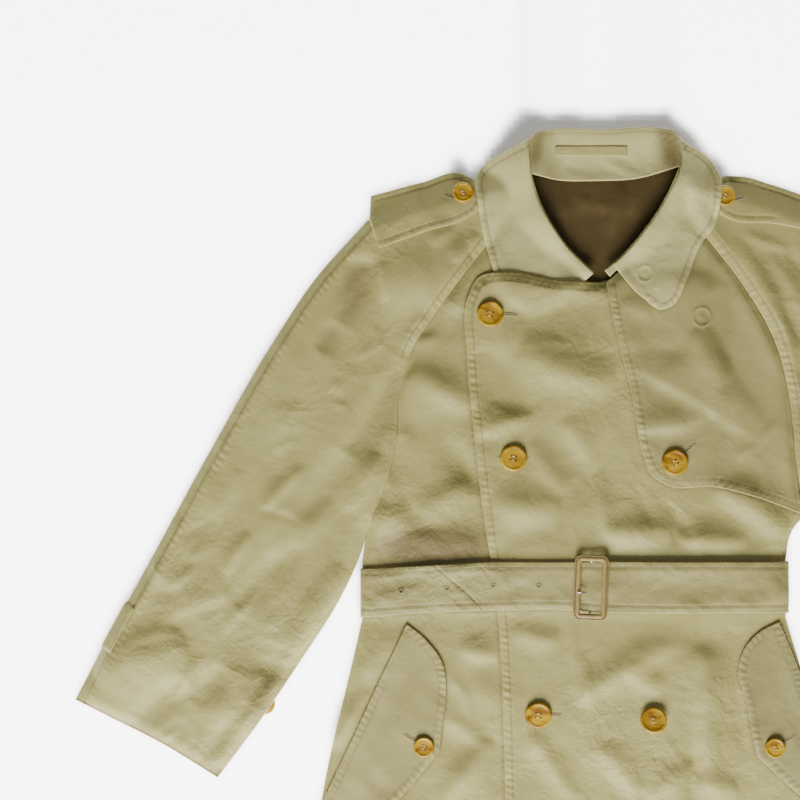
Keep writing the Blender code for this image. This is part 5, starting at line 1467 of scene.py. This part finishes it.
buckle = {
    "across": -7.5, "drop": 482.5, "width": 36.0, "height": 68.6, "thickness": 4.0,
    "corner": 7.5, "tilt": -2.0, "bulge": 1.4,
}
beltFixed = beltPiece("beltFixed", "belt_fixed_end", -4.0, 201.2, [(199.0, 2.1, 2.2)], ["frontOver"],
                      spacing=6.0,
                      uneven=[], puff=(0.2, 4.5))
layPanel(beltFixed)
beltTongue = beltPiece(
    "beltTongue", "belt_tongue", -248.7, 201.0, [(-246.5, 2.1, 2.2)],
    ["frontUnder", "frontOver", "beltFixed"],
    folds=[(-7.5, 458, -7.5, 506, buckle["bulge"], 6.5)],
)
for ends, depth in (([(-171.2, 459.9), (-127.0, 498.8), (-119.7, 506.6)], 0.8),
                    ([(-156.4, 491.4), (-147.0, 499.0), (-138.6, 506.0)], 0.35)):
    beltTongue["stitches"].append({"path": curveThrough(ends, False), "pucker": 0.0, "depth": depth,
                                   "width": 0.7, "plain": True})
tongueTop = layPanel(beltTongue)
for across, drop in ((-205.8, 486.7), (-157.5, 484.1), (-109.2, 480.9), (-62.0, 480.9)):
    workEyelet(tongueTop, across, drop)
sewLine(tongueTop, [(-108.0, 477.8), (-103.0, 479.6), (-98.0, 476.4), (-93.0, 474.6)], "loose")
sewLine(tongueTop, [(55.5, 508.2), (57.8, 510.4), (59.5, 507.6)], "loose")
print("belt")


def bucklePlace(aside, along, height):
    turn = math.radians(buckle["tilt"])
    across = buckle["across"] + aside * math.cos(turn) + along * math.sin(turn)
    drop = buckle["drop"] - aside * math.sin(turn) + along * math.cos(turn)
    return place(across, drop, height)


def roundedRectangle(halfWidth, halfHeight, radius, steps=8, run=2.5):
    points = []
    for turn, (side, end) in enumerate(((1, -1), (1, 1), (-1, 1), (-1, -1))):
        for step in range(steps + 1):
            angle = math.radians(90 * (turn - 1) + 90 * step / steps)
            points.append((side * (halfWidth - radius) + radius * math.cos(angle),
                           end * (halfHeight - radius) + radius * math.sin(angle)))
    dense = []
    for start, end in zip(points, points[1:] + points[:1]):
        pieces = max(1, round(math.dist(start, end) / run))
        dense += [tuple(a + (b - a) * k / pieces for a, b in zip(start, end)) for k in range(pieces)]
    return dense


def buckleRest():
    spots = []
    for aside in (-16.5, -13.0, 13.0, 16.5):
        for along in (-24, -12, 0, 12, 24):
            x, y, _ = bucklePlace(aside, along, 0)
            spots.append((x / mm, coat["length"] / 2 - y / mm))
    return float(np.percentile(tongueTop(np.array(spots))[0], 80)) + 0.15


buckleSeat = buckleRest()
frameSection = [        # inset from the outer edge, height
    (1.3, 0.1), (0.5, 0.5), (0.05, 1.0), (0.1, 1.6), (0.6, 2.1), (1.2, 2.15), (1.7, 1.7), (2.2, 1.85),
    (3.0, 2.5), (4.0, 2.85), (5.1, 2.8), (6.1, 2.4), (6.8, 1.7), (6.9, 1.1), (6.4, 0.5), (5.5, 0.1),
]


def meshOf(name, vertices, faces, finish, smooth=60):
    mesh = bpy.data.meshes.new(name)
    mesh.from_pydata(vertices, [], faces)
    mesh.shade_smooth()
    if smooth:
        mesh.set_sharp_from_angle(angle=math.radians(smooth))
    mesh.materials.append(finish)
    built = bpy.data.objects.new(name, mesh)
    bpy.context.scene.collection.objects.link(built)
    return built


leatherLook = {
    "colour": (0.46, 0.33, 0.1), "dark": (0.17, 0.115, 0.036), "tone": 160.0,
    "roughness": 0.6, "grain": 900.0, "bump": 0.25,
}


def leatherFinish():
    finish, nodes, links, shader = newFinish("buckleLeather")
    source = nodes.new("ShaderNodeTexCoord")
    vector = source.outputs["Object"]
    tone = noiseNode(nodes, links, vector, leatherLook["tone"], 4.0)
    colour = mixNode(nodes, links, tone, leatherLook["dark"], leatherLook["colour"])
    links.new(colour, shader.inputs["Base Color"])
    grain = noiseNode(nodes, links, vector, leatherLook["grain"], 2.0)
    bump = nodes.new("ShaderNodeBump")
    bump.inputs["Strength"].default_value = leatherLook["bump"]
    bump.inputs["Distance"].default_value = 0.0003
    links.new(grain, bump.inputs["Height"])
    links.new(bump.outputs["Normal"], shader.inputs["Normal"])
    shader.inputs["Roughness"].default_value = leatherLook["roughness"]
    return finish


def plainFinish(name, colour, roughness, metallic=0.0):
    finish, nodes, links, shader = newFinish(name)
    source = nodes.new("ShaderNodeTexCoord")
    tone = noiseNode(nodes, links, source.outputs["Object"], 300.0, 3.0)
    dark = tuple(0.8 * c for c in colour)
    links.new(mixNode(nodes, links, tone, dark, colour), shader.inputs["Base Color"])
    shader.inputs["Roughness"].default_value = roughness
    shader.inputs["Metallic"].default_value = metallic
    return finish


buckleLeather = leatherFinish()
steelFinish = plainFinish("agedSteel", (0.62, 0.58, 0.52), 0.32, 1.0)


def makeFrame():
    vertices, faces = [], []
    for inset, height in frameSection:
        ring = roundedRectangle(buckle["width"] / 2 - inset, buckle["height"] / 2 - inset,
                                max(1.6, buckle["corner"] - inset))
        if not vertices:
            count = len(ring)
        if len(ring) != count:
            ring = [ring[round(k * len(ring) / count) % len(ring)] for k in range(count)]
        vertices += [bucklePlace(u, v, buckleSeat + height) for u, v in ring]
    rows = len(frameSection)
    for row in range(rows):
        for step in range(count):
            after, below = (step + 1) % count, (row + 1) % rows
            faces.append((row * count + step, below * count + step,
                          below * count + after, row * count + after))
    built = meshOf("buckleFrame", vertices, faces, buckleLeather, 0)
    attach(built, "root")
    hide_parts("buckle_frame")


makeFrame()


def tube(name, spots, radius, node, finish, sides=12):
    vertices, faces = [], []
    path = [Vector(spot) for spot in spots]
    for index, point in enumerate(path):
        ahead = (path[min(index + 1, len(path) - 1)] - path[max(index - 1, 0)]).normalized()
        aside = ahead.cross(Vector((0, 0, 1)))
        aside = aside.normalized() if aside.length > 1e-6 else Vector((1, 0, 0))
        up = aside.cross(ahead)
        share = radius[index] if isinstance(radius, list) else radius
        for step in range(sides):
            turn = 2 * math.pi * step / sides
            vertices.append(point + (aside * math.cos(turn) + up * math.sin(turn)) * share * mm)
    for row in range(len(path) - 1):
        for step in range(sides):
            after = (step + 1) % sides
            faces.append((row * sides + step, row * sides + after,
                          (row + 1) * sides + after, (row + 1) * sides + step))
    faces.append(tuple(range(sides - 1, -1, -1)))
    faces.append(tuple(range((len(path) - 1) * sides, len(path) * sides)))
    built = meshOf(name, vertices, faces, finish)
    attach(built, "root")
    if node:
        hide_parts(node)
    return built


def makeBarAndProng():
    under = tongueTop(np.array([(buckle["across"], buckle["drop"])]))[1][0]
    reach = buckle["height"] / 2 - 3.0
    bar = [bucklePlace(0, v, under - 1.1) for v in np.linspace(-reach, reach, 9)]
    bar[0] = bucklePlace(0, -reach, buckleSeat + 1.0)
    bar[-1] = bucklePlace(0, reach, buckleSeat + 1.0)
    tube("buckleMiddleBar", bar, 1.0, "buckle_middle_bar", steelFinish)
    over = buckleSeat + 3.35
    spots = [bucklePlace(aside, 5.0, height) for aside, height in
             ((-5.0, over - 1.8), (-7.0, over - 0.6), (-9.0, over + 0.3), (-11.5, over + 0.75),
              (-13.6, over + 0.7), (-14.4, over + 0.6))]
    tube("buckleProng", spots, [0.6, 1.0, 1.1, 1.15, 1.0, 0.5], "buckle_prong", steelFinish)


makeBarAndProng()
print("buckle")
shank = [shankFoot, place(58.0, 621.3, shankFoot[2] / mm + 3.0), place(58.0, 621.5, shankFoot[2] / mm + 5.9)]
tube("buttonShank", shank, [2.6, 2.0, 2.3], None, threadFinish)


def makeStrap(side, node, sleeveTop, button):
    # from the button under the sleeve, round its outer edge, to the seam on its top
    edge = outlines["sleeveFront" + ("Right" if side > 0 else "Left")]
    turn = math.radians(cuffStrap["turn"])
    run = side * edge[:, 0] - cuffStrap["start"][0]
    fall = edge[:, 1] - cuffStrap["start"][1]
    along = run * math.cos(turn) + fall * math.sin(turn)
    aside = fall * math.cos(turn) - run * math.sin(turn)
    rim = (np.abs(aside) < 40) & (along < 30)
    order = np.argsort(aside[rim])
    level = 2.2 + buttonLook["thickness"]
    rows = []
    for u in np.linspace(-1, 1, 17):
        half = cuffStrap["halfWidth"]
        fold = float(np.interp(u * half, aside[rim][order], along[rim][order]))
        line = []
        for station in np.concatenate((np.linspace(cuffStrap["reach"], 120, 16), np.linspace(108, 8, 10))):
            width = half * float(np.interp(station, cuffStrap["taperAt"], cuffStrap["taper"]))
            height = float(np.interp(station, [cuffStrap["rise"], cuffStrap["level"]], [0.75, level]))
            line.append((station, u * width, height))
        spots = np.array([strapSpot(fold + step, u * half, side) for step in (2.0, 4.5, 7.5, 10.5)])
        top = sleeveTop(spots)[0]
        line.append((fold - 0.3, u * half, 0.75))
        for bend in (-45, 0, 45):
            swing = math.radians(bend)
            middle, radius = (top[0] + 1.2) / 2, (top[0] + 0.4) / 2
            line.append((fold - 0.4 - 0.9 * math.cos(swing), u * half, middle + radius * math.sin(swing)))
        for step, height in zip((1.6, 4.5, 7.5, 10.5), top):
            line.append((fold + step, u * half, height + 0.9))
        rows.append(line)
    grid = np.array(rows)
    forth = np.gradient(grid, axis=1)
    normal = np.stack((-forth[..., 2], forth[..., 0]), axis=-1)
    normal /= np.maximum(np.linalg.norm(normal, axis=-1, keepdims=True), 1e-9)
    vertices, faces = [], []
    across, stations = grid.shape[:2]
    for sheet in (1, -1):
        for i in range(across):
            rim = 0.35 if i in (0, across - 1) else 1.0
            for j in range(stations):
                a, b, h = grid[i, j]
                a += sheet * rim * 0.75 * normal[i, j, 0]
                h += sheet * rim * 0.75 * normal[i, j, 1]
                vertices.append(place(*strapSpot(a, b, side), max(h, 0.0)))
    size = across * stations
    for i in range(across - 1):
        for j in range(stations - 1):
            a = i * stations + j
            quad = (a, a + stations, a + stations + 1, a + 1)
            faces.append(quad)
            faces.append(tuple(size + k for k in reversed(quad)))
    for j in range(stations - 1):
        for a, flip in ((j, False), ((across - 1) * stations + j, True)):
            quad = (a, a + 1, size + a + 1, size + a)
            faces.append(quad[::-1] if flip else quad)
    for i in range(across - 1):
        for a, flip in ((i * stations, True), (i * stations + stations - 1, False)):
            quad = (a, a + stations, size + a + stations, size + a)
            faces.append(quad[::-1] if flip else quad)
    name = "cuffStrap" + ("Right" if side > 0 else "Left")
    built = meshOf(name, vertices, faces, rightSleeveCloth if side > 0 else leftSleeveCloth, 0)
    for attribute in ("wear", "grooveShade", "stainAndShade"):
        built.data.attributes.new(attribute, "FLOAT", "POINT")
    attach(built, "root")
    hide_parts(node)
    spot = strapSpot(cuffStrap["buttonAlong"], cuffStrap["buttonAside"], side)
    layButton("cuffButton" + ("Right" if side > 0 else "Left"), button, *spot, small, 0.0, -1, 0.0)


makeStrap(1, "cuff_strap_right", rightSleeveTop, "cuff_button_right")
makeStrap(-1, "cuff_strap_left", leftSleeveTop, "cuff_button_left")
print("cuff straps")


# Sewing: one tree of nodes sets small threads along any line
def stitchTree():
    tree = bpy.data.node_groups.new("stitches", "GeometryNodeTree")
    tree.interface.new_socket(name="Geometry", in_out="INPUT", socket_type="NodeSocketGeometry")
    for label, value in (("Pitch", 0.003), ("Along", 0.0013), ("Across", 0.0004), ("Height", 0.0003),
                         ("Turn", 0.0)):
        socket = tree.interface.new_socket(name=label, in_out="INPUT", socket_type="NodeSocketFloat")
        socket.default_value = value
    tree.interface.new_socket(name="Material", in_out="INPUT", socket_type="NodeSocketMaterial")
    tree.interface.new_socket(name="Geometry", in_out="OUTPUT", socket_type="NodeSocketGeometry")
    nodes, links = tree.nodes, tree.links
    source, result = nodes.new("NodeGroupInput"), nodes.new("NodeGroupOutput")
    curve = nodes.new("GeometryNodeMeshToCurve")
    links.new(source.outputs["Geometry"], curve.inputs["Mesh"])
    upright = nodes.new("GeometryNodeSetCurveNormal")
    upright.mode = "Z_UP"
    links.new(curve.outputs["Curve"], upright.inputs["Curve"])
    points = nodes.new("GeometryNodeCurveToPoints")
    points.mode = "LENGTH"
    links.new(upright.outputs["Curve"], points.inputs["Curve"])
    links.new(source.outputs["Pitch"], points.inputs["Length"])
    ball = nodes.new("GeometryNodeMeshUVSphere")
    ball.inputs["Segments"].default_value = 6
    ball.inputs["Rings"].default_value = 4
    ball.inputs["Radius"].default_value = 1.0
    size = nodes.new("ShaderNodeCombineXYZ")
    links.new(source.outputs["Across"], size.inputs["X"])
    links.new(source.outputs["Height"], size.inputs["Y"])
    links.new(source.outputs["Along"], size.inputs["Z"])
    turn = nodes.new("ShaderNodeCombineXYZ")
    links.new(source.outputs["Turn"], turn.inputs["Y"])
    spun = nodes.new("FunctionNodeRotateRotation")
    spun.rotation_space = "LOCAL"
    links.new(points.outputs["Rotation"], spun.inputs["Rotation"])
    euler = nodes.new("FunctionNodeEulerToRotation")
    links.new(turn.outputs["Vector"], euler.inputs["Euler"])
    links.new(euler.outputs["Rotation"], spun.inputs["Rotate By"])
    copies = nodes.new("GeometryNodeInstanceOnPoints")
    links.new(points.outputs["Points"], copies.inputs["Points"])
    links.new(ball.outputs["Mesh"], copies.inputs["Instance"])
    links.new(spun.outputs["Rotation"], copies.inputs["Rotation"])
    links.new(size.outputs["Vector"], copies.inputs["Scale"])
    real = nodes.new("GeometryNodeRealizeInstances")
    links.new(copies.outputs["Instances"], real.inputs["Geometry"])
    finish = nodes.new("GeometryNodeSetMaterial")
    links.new(real.outputs["Geometry"], finish.inputs["Geometry"])
    links.new(source.outputs["Material"], finish.inputs["Material"])
    links.new(finish.outputs["Geometry"], result.inputs["Geometry"])
    return tree


stitching = stitchTree()


def sew(name, lines, finish, slot, **sizes):
    vertices, joins = [], []
    for line in lines:
        first = len(vertices)
        vertices += [tuple(point) for point in line]
        joins += [(first + k, first + k + 1) for k in range(len(line) - 1)]
    mesh = bpy.data.meshes.new(name)
    mesh.from_pydata(vertices, joins, [])
    built = bpy.data.objects.new(name, mesh)
    bpy.context.scene.collection.objects.link(built)
    modifier = built.modifiers.new("stitches", "NODES")
    modifier.node_group = stitching
    sockets = {item.name: item.identifier for item in stitching.interface.items_tree
               if item.in_out == "INPUT"}
    for label, value in sizes.items():
        modifier[sockets[label]] = value
    modifier[sockets["Material"]] = finish
    ready = built.evaluated_get(bpy.context.evaluated_depsgraph_get())
    sewn = bpy.data.meshes.new_from_object(ready)
    built.modifiers.clear()
    built.data = sewn
    sewn.shade_smooth()
    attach(built, "root")
    print(name, len(sewn.polygons), "faces")
    return built


threadSizes = {     # in metres: from one thread to the next, its length, width and height
    "looseThreads": {"Pitch": 0.0006, "Along": 0.0005, "Across": 0.00022, "Height": 0.00022},
    "topstitching": {"Pitch": 0.0031, "Along": 0.0012, "Across": 0.00034, "Height": 0.00026},
    "buttonThreads": {"Pitch": 0.01, "Along": 0.0020, "Across": 0.0007, "Height": 0.0005},
    "buttonholeThreads": {"Pitch": 0.00095, "Along": 0.00042, "Across": 0.0010, "Height": 0.00045},
    "paintedShadeBeads": {"Pitch": 0.0006, "Along": 0.0007, "Across": 0.0005, "Height": 0.00012},
    "buckleStitching": {"Pitch": 0.0021, "Along": 0.0006, "Across": 0.0010, "Height": 0.0006},
}
whip = roundedRectangle(buckle["width"] / 2 - 1.5, buckle["height"] / 2 - 1.5, buckle["corner"] - 1.5)
whipLine = [bucklePlace(u, v, buckleSeat + 1.95) for u, v in whip]
whipFinish = plainFinish("whipThread", (0.11, 0.06, 0.02), 0.7)
sewing = [          # name, lines, finish, slot
    ("looseThreads", [line for line, kind in threadRuns if kind == "loose"], threadFinish, "gabardine"),
    ("topstitching", [line for line, kind in threadRuns if kind == "top" and len(line) > 1],
     threadFinish, "gabardine"),
    ("buttonThreads", buttonThreads, plainFinish("buttonThread", (0.62, 0.40, 0.26), 0.65), "gabardine"),
    ("buttonholeThreads", holeThreads, plainFinish("holeThread", (0.40, 0.33, 0.17), 0.7), "gabardine"),
    ("paintedShadeBeads", shadeBeads, plainFinish("slitShade", (0.025, 0.018, 0.010), 0.9), "gabardine"),
    ("buckleStitching", [whipLine + whipLine[:1]], whipFinish, "leather"),
]
for name, lines, finish, slot in sewing:
    sew(name, lines, finish, slot, **threadSizes[name])


def makeFloor():
    # the floor glows, but less where the coat keeps the light from it
    shade = np.zeros(pile.shape)
    for step in range(1, 16):
        reach = step * raster["step"]
        moved = np.roll(pile, (-step, round(step * studio["shadowLean"])), (0, 1))
        shade = np.maximum(shade, np.clip(moved - reach * studio["shadowSlope"], 0, 1))
    shade = blurred(shade, 3.5)
    fine = np.arange(-590, 591, studio["floorStep"])
    deep = np.arange(-25, 1125, studio["floorStep"])
    far = studio["floorReach"] / mm
    columns, rows = np.array([-far, *fine, far]), np.array([-far, *deep, far])
    spots = np.array([(x, y) for y in rows for x in columns])
    vertices = [place(x, y, studio["floorHeight"] / mm) for x, y in spots]
    wide = len(columns)
    faces = [(j * wide + i, (j + 1) * wide + i, (j + 1) * wide + i + 1, j * wide + i + 1)
             for j in range(len(rows) - 1) for i in range(wide - 1)]
    mesh = bpy.data.meshes.new("floor")
    mesh.from_pydata(vertices, [], faces)
    dark = np.where(np.abs(spots).max(axis=1) > 2000, 0, sample(shade, spots))
    mesh.attributes.new("shade", "FLOAT", "POINT").data.foreach_set("value", dark.astype(np.float32))
    floor = bpy.data.objects.new("floor", mesh)
    bpy.context.scene.collection.objects.link(floor)
    finish, nodes, links, shader = newFinish("floor")
    shader.inputs["Base Color"].default_value = (*studio["floorColour"], 1.0)
    shader.inputs["Roughness"].default_value = 0.9
    shader.inputs["Emission Color"].default_value = (1.0, 1.0, 1.0, 1.0)
    lost = mathNode(nodes, links, "MULTIPLY", attributeNode(nodes, "shade"), studio["shadowDepth"], True)
    glow = mathNode(nodes, links, "SUBTRACT", 1.0, lost)
    glow = mathNode(nodes, links, "MULTIPLY", glow, studio["floorGlow"])
    links.new(glow, shader.inputs["Emission Strength"])
    mesh.materials.append(finish)


makeFloor()
print("floor")
